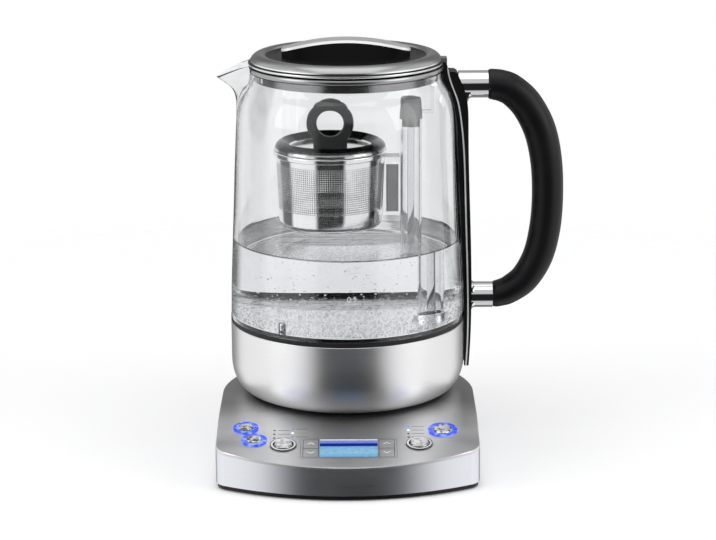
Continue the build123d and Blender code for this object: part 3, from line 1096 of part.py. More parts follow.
with BuildPart() as handle_grip:
    stations = [(SKIRT_RADIUS + reach, SEAL_TOP_Z + rise, heading, half)
                for reach, rise, heading, half in GRIP_STEPS]
    stations.insert(0, (UPPER_FERRULE_END_X, UPPER_FERRULE_Z - GRIP_UPPER_DROP, 0,
                        UPPER_FERRULE_RADIUS + GRIP_UPPER_EXTRA))
    stations.append((LOWER_FERRULE_END_X, LOWER_FERRULE_Z + GRIP_LOWER_LIFT, -180,
                     LOWER_FERRULE_RADIUS + GRIP_LOWER_EXTRA))
    for x, z, heading, half_thickness in stations:
        way = (cos(radians(heading)), 0, sin(radians(heading)))
        with BuildSketch(Plane(origin=(x, 0, z), x_dir=(0, 1, 0), z_dir=way)):
            Ellipse(GRIP_HALF_DEPTH, half_thickness)
    loft()
    for end_x, z in ((UPPER_FERRULE_END_X, UPPER_FERRULE_Z), (LOWER_FERRULE_END_X, LOWER_FERRULE_Z)):
        with BuildSketch(Plane.YZ.offset(end_x)):
            with Locations((0, z)):
                Circle(SPIGOT_RADIUS + RUN_GAP)
        extrude(amount=SPIGOT_LENGTH + RUN_GAP, mode=Mode.SUBTRACT)
save(handle_grip, "handle_grip")

# ======================= column for the tea basket =======================
COLUMN_BORE = COLUMN_RADIUS - COLUMN_WALL

with BuildPart() as column_tube:
    with BuildSketch(Plane.XY.offset(PLATE_TOP_Z)):
        with Locations((COLUMN_X, 0)):
            Circle(COLUMN_RADIUS)
            Circle(COLUMN_BORE, mode=Mode.SUBTRACT)
    extrude(amount=COLUMN_TOP_Z - PLATE_TOP_Z)
save(column_tube, "column_tube")

with BuildPart() as guide_rod:
    with BuildSketch(Plane.XY.offset(PLATE_TOP_Z)):
        with Locations((COLUMN_X, 0)):
            Circle(GUIDE_ROD_RADIUS)
    extrude(amount=COLUMN_TOP_Z - CAP_SPIGOT - PLATE_TOP_Z)
save(guide_rod, "guide_rod")

with BuildPart() as column_cap:
    with BuildSketch(Plane.XY.offset(COLUMN_TOP_Z)):
        with Locations((COLUMN_X, 0)):
            Circle(CAP_RADIUS)
    with BuildSketch(Plane.XY.offset(CAP_TOP_Z)):
        with Locations((COLUMN_X, 0)):
            Circle(CAP_TOP_RADIUS)
    loft()
    fillet(column_cap.faces().sort_by(Axis.Z)[-1].edges(), CAP_EDGE)
    with BuildSketch(Plane.XY.offset(COLUMN_TOP_Z)):
        with Locations((COLUMN_X, 0)):
            Circle(COLUMN_BORE - RUN_GAP)
    extrude(amount=-CAP_SPIGOT)
save(column_cap, "column_cap")

with BuildPart() as column_stay:
    with BuildSketch(Plane.XZ):
        with Locations((STAY_X, STAY_ARM_Z)):
            Rectangle(STAY_THICKNESS, COLLAR_SKIRT_BOTTOM_Z + STAY_HOOK_LIFT + STAY_HOOK - STAY_ARM_Z,
                      align=(Align.CENTER, Align.MIN))
        with Locations((STAY_X, STAY_ARM_Z)):
            Rectangle(STAY_X - COLUMN_X, STAY_THICKNESS, align=(Align.MAX, Align.MIN))
        with Locations((STAY_X, COLLAR_SKIRT_BOTTOM_Z + STAY_HOOK_LIFT)):
            Rectangle(COLLAR_SKIRT_RADIUS - STAY_X, STAY_HOOK, align=(Align.MIN, Align.MIN))
    extrude(amount=STAY_HALF_WIDTH, both=True)
    with BuildSketch(Plane.XY.offset(STAY_ARM_Z)):
        with Locations((COLUMN_X, 0)):
            Circle(CAP_RADIUS)
    extrude(amount=STAY_THICKNESS, mode=Mode.SUBTRACT)
    with BuildSketch(Plane.XY.offset(COLLAR_SKIRT_BOTTOM_Z)):
        Circle(COLLAR_OUTER_RADIUS)
        Circle(COLLAR_SKIRT_RADIUS - COLLAR_SKIRT_WALL - RUN_GAP, mode=Mode.SUBTRACT)
    extrude(amount=COLLAR_TOP_Z - COLLAR_SKIRT_BOTTOM_Z, mode=Mode.SUBTRACT)
save(column_stay, "column_stay")

# ======================= lid =======================
KNOB_ARCH_CENTRE_Z = KNOB_TOP_Z - KNOB_CAP_THICKNESS - KNOB_ARCH_RADIUS
DISH_UNDERSIDE_Z = DISH_TOP_Z - DISH_THICKNESS
DISH_RADIUS = LID_RING_INNER - RUN_GAP
DISH_EDGE_Z = LID_RING_TOP_Z - DISH_EDGE_DROP

with BuildPart() as lid_ring:
    edge_z = LID_UNDERSIDE_Z + LID_RING_EDGE
    with BuildSketch(Plane.XZ):
        with BuildLine():
            Polyline((LID_RING_INNER, LID_UNDERSIDE_Z), (LID_RING_RADIUS, LID_UNDERSIDE_Z),
                     (LID_RING_RADIUS, edge_z))
            ThreePointArc((LID_RING_RADIUS, edge_z),
                          (LID_RING_RADIUS - LID_RING_SHOULDER,
                           edge_z + (LID_RING_TOP_Z - edge_z) * LID_RING_CURVE),
                          (LID_RING_INNER + LID_RING_BREAK, LID_RING_TOP_Z - LID_RING_DIP))
            Polyline((LID_RING_INNER + LID_RING_BREAK, LID_RING_TOP_Z - LID_RING_DIP),
                     (LID_RING_INNER, LID_RING_TOP_Z - LID_RING_DIP - LID_RING_BREAK),
                     (LID_RING_INNER, LID_UNDERSIDE_Z))
        make_face()
    revolve(axis=Axis.Z)
    # tongue over the hinge, with its barrel
    with BuildSketch(Plane.XZ):
        with Locations((HINGE_X, HINGE_Z)):
            Circle(BARREL_RADIUS)
            Rectangle(2 * BARREL_RADIUS, TONGUE_TOP_Z - HINGE_Z, align=(Align.CENTER, Align.MIN))
    extrude(amount=BARREL_HALF_WIDTH, both=True)
    with BuildSketch(Plane.XZ):
        with Locations((HINGE_X, HINGE_Z)):
            Circle(HINGE_PIN_RADIUS + RUN_GAP)
    extrude(amount=BARREL_HALF_WIDTH, both=True, mode=Mode.SUBTRACT)
save(lid_ring, "lid_ring")

with BuildPart() as lid_dish:
    with BuildSketch(Plane.XZ):
        with BuildLine():
            Polyline(
                (0, DISH_TOP_Z), (DISH_FLAT_RADIUS, DISH_TOP_Z), (DISH_RADIUS, DISH_EDGE_Z),
                (DISH_RADIUS, DISH_EDGE_Z - DISH_THICKNESS), (DISH_FLAT_RADIUS, DISH_UNDERSIDE_Z),
                (0, DISH_UNDERSIDE_Z), close=True,
            )
        make_face()
    revolve(axis=Axis.Z)
    with BuildSketch(Plane.XY.offset(DISH_UNDERSIDE_Z)):
        Circle(KNOB_SPIGOT_RADIUS + RUN_GAP)
    extrude(amount=DISH_THICKNESS, mode=Mode.SUBTRACT)
save(lid_dish, "lid_dish")


def knob_body(extra):
    """Fill the knob's tapering outline from the dish up, this much wider all round."""
    with BuildSketch(Plane.XY.offset(DISH_TOP_Z)) as foot:
        Ellipse(KNOB_HALF_LENGTH + extra, KNOB_HALF_WIDTH + extra)
    with BuildSketch(Plane.XY.offset(KNOB_TOP_Z)) as top:
        Ellipse(KNOB_HALF_LENGTH + extra, KNOB_TOP_HALF_WIDTH + extra)
    loft([foot.sketch, top.sketch])


def arch_cut(radius, mode):
    """Cut by a lying cylinder about the arch's centre, or keep what is inside it."""
    with BuildSketch(Plane.XZ) as arch:
        with Locations((0, KNOB_ARCH_CENTRE_Z)):
            Circle(radius)
    extrude(arch.sketch, amount=KNOB_HALF_LENGTH, both=True, mode=mode)


with BuildPart() as lid_knob:
    knob_body(0)
    arch_cut(KNOB_ARCH_RADIUS, Mode.INTERSECT)
    # spigot through the dish
    with BuildSketch(Plane.XY.offset(DISH_TOP_Z)):
        Circle(KNOB_SPIGOT_RADIUS)
    extrude(amount=-KNOB_SPIGOT_LENGTH)
save(lid_knob, "lid_knob")

with BuildPart() as lid_knob_cap:
    knob_body(KNOB_CAP_OVERHANG)
    arch_cut(KNOB_ARCH_RADIUS + KNOB_CAP_THICKNESS, Mode.INTERSECT)
    arch_cut(KNOB_ARCH_RADIUS, Mode.SUBTRACT)
    fillet(lid_knob_cap.faces().sort_by(Axis.Z)[-1].edges(), KNOB_CAP_EDGE)
save(lid_knob_cap, "lid_knob_cap")

with BuildPart() as lid_inner_plate:
    with BuildSketch(Plane.XY.offset(LID_PLUG_BOTTOM_Z)):
        Circle(LID_PLUG_RADIUS)
    extrude(amount=LID_UNDERSIDE_Z - RUN_GAP - LID_PLUG_BOTTOM_Z)
    with BuildSketch(Plane.XY.offset(LID_PLUG_BOTTOM_Z + LID_SHEET)):
        Circle(LID_PLUG_RADIUS - LID_SHEET)
    extrude(amount=LID_UNDERSIDE_Z - LID_PLUG_BOTTOM_Z, mode=Mode.SUBTRACT)
save(lid_inner_plate, "lid_inner_plate")

with BuildPart() as lid_seal:
    with BuildSketch(Plane.XY.offset(LID_SEAL_Z)):
        Circle(LID_SEAL_RADIUS)
        Circle(LID_PLUG_RADIUS + RUN_GAP, mode=Mode.SUBTRACT)
    extrude(amount=LID_SEAL_HEIGHT)
save(lid_seal, "lid_seal")

# ======================= tea basket =======================
BASKET_AXIS = Axis((BASKET_X, 0, 0), (0, 0, 1))
BASKET_SIDE_SLOPE = (BASKET_TOP_RADIUS - BASKET_BOTTOM_RADIUS) / (RIM_TOP_Z - BASKET_BOTTOM_Z)


def basket_radius(z):
    """Outer radius of the basket's gently flared wall at height z."""
    return BASKET_BOTTOM_RADIUS + (z - BASKET_BOTTOM_Z) * BASKET_SIDE_SLOPE


def basket_wall(low_z, high_z, inset, wall):
    """Ring of the basket's wall between two heights, in the open part."""
    with BuildSketch(Plane.XZ) as section:
        with BuildLine() as outline:
            Polyline(
                (BASKET_X + basket_radius(low_z) - inset, low_z),
                (BASKET_X + basket_radius(high_z) - inset, high_z),
                (BASKET_X + basket_radius(high_z) - inset - wall, high_z),
                (BASKET_X + basket_radius(low_z) - inset - wall, low_z), close=True,
            )
        make_face(outline.edges())
    revolve(section.sketch, axis=BASKET_AXIS)


with BuildPart() as basket_cup:
    with BuildSketch(Plane.XY.offset(BASKET_BOTTOM_Z)):
        with Locations((BASKET_X, 0)):
            Circle(basket_radius(BASKET_BOTTOM_Z))
    with BuildSketch(Plane.XY.offset(MESH_BOTTOM_Z)):
        with Locations((BASKET_X, 0)):
            Circle(basket_radius(MESH_BOTTOM_Z))
    loft()
    fillet(basket_cup.edges().filter_by(GeomType.CIRCLE).sort_by(Axis.Z)[0], BASKET_BOTTOM_TURN)
    offset(amount=-BASKET_WALL, openings=basket_cup.faces().sort_by(Axis.Z)[-1])
save(basket_cup, "basket_cup")

with BuildPart() as basket_mesh:
    basket_wall(MESH_BOTTOM_Z, MESH_TOP_Z, (BASKET_WALL - MESH_WALL) / 2, MESH_WALL)
save(basket_mesh, "basket_mesh")

with BuildPart() as basket_rim:
    basket_wall(MESH_TOP_Z, RIM_TOP_Z - RIM_ROLL, 0, BASKET_WALL)
    rim_inner = basket_radius(RIM_TOP_Z) - BASKET_WALL
    with BuildSketch(Plane.XZ):
        with Locations((BASKET_X + (rim_inner + RIM_RADIUS) / 2, (RIM_BOTTOM_Z + RIM_TOP_Z) / 2)):
            RectangleRounded(RIM_RADIUS - rim_inner, RIM_TOP_Z - RIM_BOTTOM_Z, RIM_ROLL)
    revolve(axis=BASKET_AXIS)
save(basket_rim, "basket_rim")

BRACKET_OUTER_X = COLUMN_X - COLUMN_RADIUS - BRACKET_GAP
MAGNET_OUTER_X = BRACKET_OUTER_X - BRACKET_WALL

with BuildPart() as basket_bracket:
    with BuildSketch(Plane.XZ):
        with Locations((BASKET_X, BRACKET_BOTTOM_Z)):
            Rectangle(BRACKET_OUTER_X - BASKET_X, BRACKET_TOP_Z - BRACKET_BOTTOM_Z, align=(Align.MIN, Align.MIN))
        with Locations((MAGNET_INNER_X, MAGNET_BOTTOM_Z)):
            Rectangle(MAGNET_OUTER_X - MAGNET_INNER_X, MAGNET_TOP_Z - MAGNET_BOTTOM_Z,
                      align=(Align.MIN, Align.MIN), mode=Mode.SUBTRACT)
    extrude(amount=BRACKET_HALF_WIDTH, both=True)
    cut_low = BRACKET_BOTTOM_Z - CUT_PAST
    cut_high = BRACKET_TOP_Z + CUT_PAST
    with BuildSketch(Plane.XZ):
        with BuildLine():
            Polyline(
                (BASKET_X, cut_low), (BASKET_X + basket_radius(cut_low) + RUN_GAP, cut_low),
                (BASKET_X + basket_radius(cut_high) + RUN_GAP, cut_high), (BASKET_X, cut_high), close=True,
            )
        make_face()
    revolve(axis=BASKET_AXIS, mode=Mode.SUBTRACT)
save(basket_bracket, "basket_bracket")

with BuildPart() as magnet_block:
    with BuildSketch(Plane.XZ):
        with Locations((MAGNET_INNER_X + RUN_GAP, MAGNET_BOTTOM_Z + RUN_GAP)):
            Rectangle(MAGNET_OUTER_X - MAGNET_INNER_X - 2 * RUN_GAP, MAGNET_TOP_Z - MAGNET_BOTTOM_Z - 2 * RUN_GAP,
                      align=(Align.MIN, Align.MIN))
    extrude(amount=MAGNET_HALF_WIDTH, both=True)
    fillet(magnet_block.edges().filter_by(Axis.Z), MAGNET_EDGE)
save(magnet_block, "magnet_block")

TEA_LID_Z = RIM_TOP_Z + SEAT_GAP

with BuildPart() as basket_lid:
    with BuildSketch(Plane.XZ):
        with BuildLine():
            outer = [(TEA_LID_RADIUS, TEA_LID_Z), (TEA_LID_RING_RADIUS, TEA_LID_RING_Z),
                     (TEA_LID_DISH_RADIUS, TEA_LID_DISH_Z)]
            shoulder = ((TEA_LID_RADIUS + TEA_LID_RING_RADIUS) / 2 + TEA_LID_BULGE,
                        (TEA_LID_Z + TEA_LID_RING_Z) / 2 + TEA_LID_BULGE)
            shifted = [(BASKET_X + r, z) for r, z in outer]
            ThreePointArc(shifted[0], (BASKET_X + shoulder[0], shoulder[1]), shifted[1])
            Polyline(shifted[1], shifted[2], (BASKET_X, TEA_LID_DISH_Z), (BASKET_X, TEA_LID_DISH_Z - TEA_LID_SHEET),
                     (BASKET_X + TEA_LID_DISH_RADIUS + TEA_LID_SHEET / 2, TEA_LID_DISH_Z - TEA_LID_SHEET),
                     (BASKET_X + TEA_LID_RING_RADIUS, TEA_LID_RING_Z - 1.6 * TEA_LID_SHEET),
                     (BASKET_X + TEA_LID_RADIUS - 1.2 * TEA_LID_SHEET, TEA_LID_Z), shifted[0])
        make_face()
    revolve(axis=BASKET_AXIS)
save(basket_lid, "basket_lid")

with BuildPart() as basket_lid_grip:
    with BuildSketch(Plane.XZ):
        with Locations((BASKET_X, GRIP_RING_Z)):
            Circle(GRIP_RING_RADIUS)
        with Locations((BASKET_X, TEA_LID_DISH_Z)):
            Rectangle(2 * GRIP_STEM_HALF_WIDTH, GRIP_RING_Z - TEA_LID_DISH_Z, align=(Align.CENTER, Align.MIN))
        with Locations((BASKET_X, GRIP_RING_Z)):
            Circle(GRIP_RING_HOLE, mode=Mode.SUBTRACT)
    extrude(amount=GRIP_RING_HALF_DEPTH, both=True)
    fillet(basket_lid_grip.edges().filter_by(GeomType.CIRCLE), GRIP_RING_EDGE)
save(basket_lid_grip, "basket_lid_grip")
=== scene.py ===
"""Dress of an automatic tea maker: glass, water, finishes, lit controls, floor and light.

Sizes in the property groups are millimetres; every mesh is made in metres in the frame's axes,
with +X to the handle, -Y to the control panel and +Z up.
"""
from math import asin, cos, exp, pi, radians, sin, sqrt, tan

import bmesh
import bpy
from bpy.props import FloatProperty, FloatVectorProperty, IntProperty, PointerProperty
from mathutils import Euler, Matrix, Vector


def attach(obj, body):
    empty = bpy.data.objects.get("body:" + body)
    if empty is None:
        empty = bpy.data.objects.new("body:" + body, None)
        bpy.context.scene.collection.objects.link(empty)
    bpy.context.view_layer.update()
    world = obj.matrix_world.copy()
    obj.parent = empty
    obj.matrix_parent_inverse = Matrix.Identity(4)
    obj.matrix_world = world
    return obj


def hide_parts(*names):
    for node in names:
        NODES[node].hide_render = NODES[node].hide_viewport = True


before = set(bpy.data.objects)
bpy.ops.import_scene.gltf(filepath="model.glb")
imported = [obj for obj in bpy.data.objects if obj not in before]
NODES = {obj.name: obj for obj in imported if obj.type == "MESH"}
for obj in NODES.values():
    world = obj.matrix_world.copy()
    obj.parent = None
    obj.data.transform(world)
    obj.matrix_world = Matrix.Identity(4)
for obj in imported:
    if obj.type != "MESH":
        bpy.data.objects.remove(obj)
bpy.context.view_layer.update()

bl_info = {
    "name": "Tea maker dress",
    "version": (1, 0, 0),
    "blender": (4, 5, 0),
    "location": "View3D > Sidebar > Tea maker",
    "description": "Builds the glass, water, finishes and light of an automatic tea maker",
    "category": "Object",
}

MM = 0.001

# ---- shape of the glass: height, and radius round the jug's axis ----
GLASS_OUTLINE = [(82.6, 74.1), (93.0, 73.9), (104.0, 73.6), (130.0, 72.5), (156.0, 71.3), (178.0, 70.4),
                 (198.0, 69.4), (206.0, 68.95), (212.0, 68.4), (216.5, 67.7), (220.0, 66.8), (223.5, 65.5),
                 (226.5, 64.1), (230.0, 61.9), (232.5, 60.8), (234.5, 60.4), (238.8, 60.4)]
THINNING_START = 120.0      # from here up the wall gets thinner
THINNING_RUN = 98.0
THINNING = 0.55             # share of the wall that is gone at the neck
NECK_TOP = 238.8
COLLAR_CLEAR = 61.3         # the spout's wall stays outside this radius above the neck

# ---- spout: height, x of its tip, and the radius of its root ----
SPOUT_SECTIONS = [(204.0, -67.2, 4.5), (213.0, -68.4, 7.5), (221.0, -68.8, 10.5),
                  (228.0, -71.6, 13.0), (235.0, -80.7, 15.0), (241.0, -91.0, 16.0)]
SPOUT_ROOT_X = -54.0
SPOUT_TIP_RADIUS = 2.6
SPOUT_TIP = (-80.7, 235.0)
SPOUT_LIP_END = (-59.7, 243.6)
SPOUT_BLEND = 1.6           # width of the rounded fold between spout and body
SPOUT_HALF_TURN = 0.5       # the spout lies within this angle of -X
LIP_HALF_TURN = 0.4
LIP_CLEAR = 0.8
LIP_CURVE = 1.35            # how soon the lip rises behind its tip
FOLD_WIDTH, FOLD_DEEPER = 4.0, 0.4  # over this width the spout's wall gets this much thicker

# ---- skirt, water and what stands in it ----
SKIRT_CENTRE = (62.3, 55.0)         # radius and height of the middle of its rounded edge
SKIRT_OUTER, SKIRT_INNER = (12.0, 20.0), (10.8, 18.8)    # the edge's half axes, outside and inside the sheet
SKIRT_LIP = [(73.1, 79.9), (73.5, 80.0), (74.0, 79.9), (74.3, 79.5)]
PLATE_TOP = 82.0
PLATE_RADIUS = 69.3
GLASS_FOOT = 84.8                   # above this the water reaches the glass
WATER_IN_GLASS = 0.12               # how far the water laps into the glass
MENISCUS_RISE, MENISCUS_RUN, MENISCUS_FADE = 1.6, 3.5, 0.9
BUBBLES_SINK = 14.0                 # the higher, the more bubbles lie on the plate
BUBBLES_SMALL = 2.2                 # the higher, the more bubbles are small
BUBBLES_REACH, BUBBLES_LIFT = 67.5, 0.35
WATER_FLAT = 40.0                   # within this radius the surface is one disc

# ---- grip: x, z, heading of its run in degrees, and half width ----
GRIP_STATIONS = [
    (88.6, 229.4, 0.0, 9.3), (91.5, 229.2, -3.0, 9.6), (97.0, 228.2, -12.0, 9.9), (103.6, 225.2, -27.0, 10.1),
    (113.0, 216.0, -49.0, 10.2), (121.3, 200.0, -67.0, 10.2), (125.6, 180.0, -82.0, 10.0), (126.7, 158.0, -90.0, 9.9),
    (125.3, 137.0, -98.0, 9.9), (121.0, 118.6, -111.0, 9.7), (112.9, 104.4, -132.0, 9.3), (103.0, 96.8, -157.0, 8.9),
    (97.0, 94.6, -169.0, 8.5), (92.4, 93.7, -178.0, 8.3),
]
GRIP_HALF_DEPTH = 9.6
GRIP_END_RINGS = 5                  # rings over which each end closes in
GRIP_END_SHARE = 0.93

# ---- basket: its centre, and the mesh's radius and height at both ends ----
BASKET_X = -10.2
MESH_BOTTOM = (32.62, 152.6)
MESH_TOP = (33.80, 181.5)
HOOP_SIDES = 190
CAPACITY_MARKS = [("1.7", 182.7), ("1.0", 139.2), ("0.8", 126.4), ("0.5", 107.6)]
MARK_START_X = -1.5
MARK_HALF_LINE = 0.28
MARK_PROUD = 0.12
NUMBER_X, NUMBER_UP = 3.0, 1.0      # a number's middle, and its foot over its line

# ---- control panel ----
PANEL_SLOPE = radians(9.5)
PANEL_BREAK_Y = -58.0
PANEL_FLAT_Z = 33.0
HALOS = [(58.0, -80.5, 9.0), (-62.4, -77.0, 7.8), (-56.8, -92.5, 7.8)]     # x, y, outer radius
TRIMS = [(-39.0, -98.5, 8.1), (43.3, -97.5, 8.1)]
LEDS_LEFT = [(-44.8, -79.8), (-44.8, -84.6), (-44.8, -89.4)]
LEDS_MIDDLE = [(-33.7, -78.4), (-33.7, -83.2), (-33.7, -88.0)]
LEDS_RIGHT = [(37.0, -75.8), (37.0, -80.2), (37.0, -84.6), (37.0, -89.0)]
LEGEND_FROM, LEGEND_TO, LEGEND_HALF = 2.2, 9.4, 0.22   # a legend line, from its light pipe
LEGEND_LIFT = (0.005, 0.05)
DISPLAY_NEAR_Y, DISPLAY_FAR_Y = -114.1, -91.5
KEYS_X, KEYS_Y = 0.6, -102.8                           # middle of the four keys
KEY_APART_X, KEY_APART_Y = 22.9, 5.6
ARROW_LIFT = (0.16, 0.34)
ARROW = [(-2.6, -1.1), (0.0, 1.5), (2.6, -1.1), (1.5, -1.1), (0.0, 0.45), (-1.5, -1.1)]

# ---- grey levels round the studio, by the turn from -Y as a share of half a turn ----
STUDIO_LOW = [(0.0, 0.015), (0.14, 0.02), (0.25, 0.9), (0.42, 1.0), (0.73, 0.95), (0.80, 0.30), (0.9, 0.22),
              (1.0, 0.32)]
STUDIO_HIGH = [(0.0, 0.62), (0.22, 0.8), (0.42, 1.0), (0.73, 0.95), (0.80, 0.30), (0.9, 0.20), (1.0, 0.24)]
THROUGH_LOW = [(0.0, 0.015), (0.15, 0.02), (0.19, 0.97), (0.50, 0.98), (0.54, 0.06), (0.70, 0.10), (0.76, 0.86),
               (1.0, 0.88)]
THROUGH_HIGH = [(0.0, 0.9), (0.3, 0.95), (0.50, 0.96), (0.54, 0.5), (0.64, 0.5), (0.72, 0.9), (1.0, 1.0)]
LOW_BAND = [(0.0, 0.0), (0.10, 0.0), (0.16, 1.0), (0.60, 1.0), (0.68, 0.0), (1.0, 0.0)]
OVERHEAD_FROM, OVERHEAD_FULL, OVERHEAD_GREY = 0.45, 0.9, (0.6, 0.6, 0.61)
COOL = 1.01                 # blue of the studio's greys over their red and green

# ---- finishes, with painted shade, highlights, reflections and glow ----
POLISHED = {"streak": 0.02, "bump": 0.0, "marks": 0.02, "tint": 0.02}
BAND_EDGE = 0.00015         # softness of a band's edge, in metres
# painted shade on the collar in height bands: darker skirt, a dark line, a darker lower bead, a dark groove, and a
# shadow line under the lid ring
COLLAR_SHADE_BANDS = [(0.0, 0.2388, 0.42), (0.2388, 0.2394, 0.05), (0.2394, 0.2419, 0.5), (0.2419, 0.2432, 0.02),
                (0.2445, 0.26, 0.03)]               # from, to, level; metres
# the lid ring's lower edge carries a painted highlight; from this height up the ring is darker
LID_RING_HIGHLIGHT_TOP, LID_RING_TOP = 0.24615, 0.26
# painted shade in the glass under the spout's fold
FOLD_SHADE = ((-0.0535, 0, 0.2185), (0.0075, 0, 0.021), 0.8, 0.25)     # centre, half axes, edge and softness
# painted shade in a streaked patch on the plate's far side
PLATE_SHADE = ((-0.003, 0.045, 0.084), (0.048, 0.019, 0), 0.95, 0.12)
# painted shade low at the front of the skirt
SKIRT_SHADE = ((0.003, -0.072, 0.046), 0.006, 0.034)                    # centre, inner and outer radius
# painted shade on the panel: in its middle, and towards its rear under the jug
PANEL_SHADE = ((0, -0.092, 0.03), 0.02, 0.078)
PANEL_REAR_SHADE = (-0.080, -0.035)
# the halos' paler inner edge, and how far their painted blue glow reaches over the panel
HALO_INSIDE, HALO_SPREAD = (-3.0, -1.7), (-0.9, 3.0)                    # millimetres from a ring's radius
# lines of painted shade along both edges of the chrome trim rings
TRIM_OUTSIDE, TRIM_INSIDE = (-0.65, -0.35), (-1.75, -1.45)
LED_EDGE = (0.0018, 0.0021)
# painted dark reflection in a ring on the basket's lid
LID_DARK_REFLECTION = (0.0262, 0.0349)
# painted dark reflection on the inner slope of the basket's rim
RIM_SLOPE_RADIUS, RIM_SLOPE_FOOT = 0.0350, 0.1868
DISPLAY_STOPS = [(0.0, (0.10, 0.25, 0.42)), (0.05, (0.25, 0.55, 0.85)), (0.25, (0.36, 0.70, 0.95)),
                 (0.55, (0.30, 0.60, 0.93)), (0.60, (0.22, 0.46, 0.90)), (0.63, (0.0, 0.02, 0.26)),
                 (0.755, (0.01, 0.03, 0.32)), (0.79, (0.20, 0.28, 0.80)), (0.92, (0.34, 0.40, 0.88)),
                 (0.95, (0.80, 0.85, 1.0)), (1.0, (0.90, 0.93, 1.0))]
LED_TONES = [(0.10, 0.14, 0.40), (0.75, 0.88, 1.0), (0.08, 0.12, 0.38), (0.08, 0.2, 0.7), (0.7, 0.92, 1.0)]

# ---- camera and floor ----
CAMERA_X, CAMERA_AIM_Z, CAMERA_ROLL = 6.8, 110.0, -0.33
FLOOR_REACH = 6000
FLOOR_FADE = (0.3, 0.75)    # the floor fades out between these distances, in metres
FLOOR_LIFT = 0.16           # glow that brings the unshaded floor to white for the camera
LIGHTS = [("top_light", (0.0, -0.2, 1.5), 0.1, (1.4, 1.4), 6.0),     # name, place, aim, size and power
          ("left_light", (-1.5, -0.7, 0.8), 0.12, (0.9, 1.2), 5.0),
          ("right_light", (1.5, -0.7, 0.8), 0.12, (0.9, 1.2), 5.0)]


def size(name, text, default, low, high, kind=FloatProperty, **more):
    """A size property with its name, description, default and limits."""
    return kind(name=name, description=text, default=default, min=low, max=high, **more)


class TeaMakerSizes(bpy.types.PropertyGroup):
    """Sizes of the pieces that are made here, in millimetres, and the camera's."""
    glass_wall: size("Glass wall", "Thickness of the glass", 2.8, 1, 5)
    water_level: size("Water level", "Height of the water's surface", 132.0, 90, 180)
    bubble_count: size("Bubbles", "Bubbles in the water", 2400, 0, 2400, IntProperty)
    bubble_radius: size("Bubble radius", "Largest bubble's radius", 0.62, 0.1, 3)
    mesh_columns: size("Mesh columns", "Upright wires round the basket", 150, 40, 400, IntProperty)
    mesh_rows: size("Mesh rows", "Level wires of the basket", 21, 5, 60, IntProperty)
    mesh_wire: size("Mesh wire", "Half width of a wire in the mesh", 0.26, 0.05, 1)
    mark_length: size("Mark length", "Length of a capacity line", 9.0, 2, 30)
    number_height: size("Number height", "Height of the capacity numbers", 5.0, 1, 12)
    lens: size("Lens", "Camera's focal length", 116.9, 20, 300, unit="CAMERA")
    camera_distance: size("Camera distance", "From the jug's axis", 1480.0, 500, 4000)
    camera_tilt: size("Camera tilt", "How far the camera looks down", radians(14.4), 0, radians(60), subtype="ANGLE")


def colour(name, text, default):
    """A colour property with its name, description and default."""
    return FloatVectorProperty(name=name, description=text, default=default, subtype="COLOR", size=3, min=0, max=1)


class TeaMakerColours(bpy.types.PropertyGroup):
    """Colours of the finishes and lights."""
    skirt_steel: colour("Skirt steel", "Brushed steel of the jug's skirt", (0.84, 0.84, 0.84))
    band_steel: colour("Band steel", "Brushed steel round the base", (0.80, 0.82, 0.86))
    panel_steel: colour("Panel steel", "Brushed top of the base", (0.80, 0.80, 0.805))
    lid_steel: colour("Lid steel", "Satin steel of the lid", (0.44, 0.44, 0.44))
    chrome: colour("Chrome", "Polished ferrules and hinge pin", (0.86, 0.86, 0.87))
    black: colour("Black plastic", "Grip, spine and pan", (0.007, 0.007, 0.008))
    grey: colour("Grey plastic", "Cap of the column", (0.50, 0.50, 0.50))
    water: colour("Water", "Tint of the water", (0.985, 0.992, 1.0))
    halo: colour("Halo", "Light of the rings round the buttons", (0.03, 0.08, 0.95))
    floor: colour("Floor", "Floor under the object", (0.93, 0.93, 0.93))


def sizes():
    """The sizes that the scene holds."""
    return bpy.context.scene.tea_maker_sizes


def colours():
    """The colours that the scene holds."""
    return bpy.context.scene.tea_maker_colours


# ======================= meshes =======================
def add_mesh(name, points, faces, material, smooth=35, scale=MM):
    """A mesh object from points in millimetres, smooth up to an angle between its faces."""
    mesh = bpy.data.meshes.new(name)
    mesh.from_pydata([Vector(p) * scale for p in points], [], faces)
    mesh.polygons.foreach_set("use_smooth", [True] * len(mesh.polygons))
    mesh.set_sharp_from_angle(angle=radians(smooth))
    mesh.update()
    mesh.materials.append(material)
    piece = bpy.data.objects.new(name, mesh)
    bpy.context.scene.collection.objects.link(piece)
    return piece


def finish_piece(piece, body, replaced=()):
    """Let a piece ride on its body and stand for the nodes it replaces."""
    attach(piece, body)
    if replaced:
        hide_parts(*replaced)
    return piece


def ring_grid(rings, closed_rings=False, cap_start=False, cap_end=False):
    """Points and faces of a skin over rings of points that all have the same count."""
    points = [p for ring in rings for p in ring]
    count = len(rings[0])
    faces = []
    last = len(rings) if closed_rings else len(rings) - 1
    for i in range(last):
        a, b = i * count, ((i + 1) % len(rings)) * count
        for j in range(count):
            k = (j + 1) % count
            faces.append((a + j, a + k, b + k, b + j))
    if cap_start:
        faces.append(tuple(reversed(range(count))))
    if cap_end:
        faces.append(tuple(range((len(rings) - 1) * count, len(rings) * count)))
    return points, faces


def merged(parts):
    """Points and faces of several parts as one."""
    points, faces = [], []
    for more, sides in parts:
        faces += [tuple(len(points) + i for i in side) for side in sides]
        points += more
    return points, faces


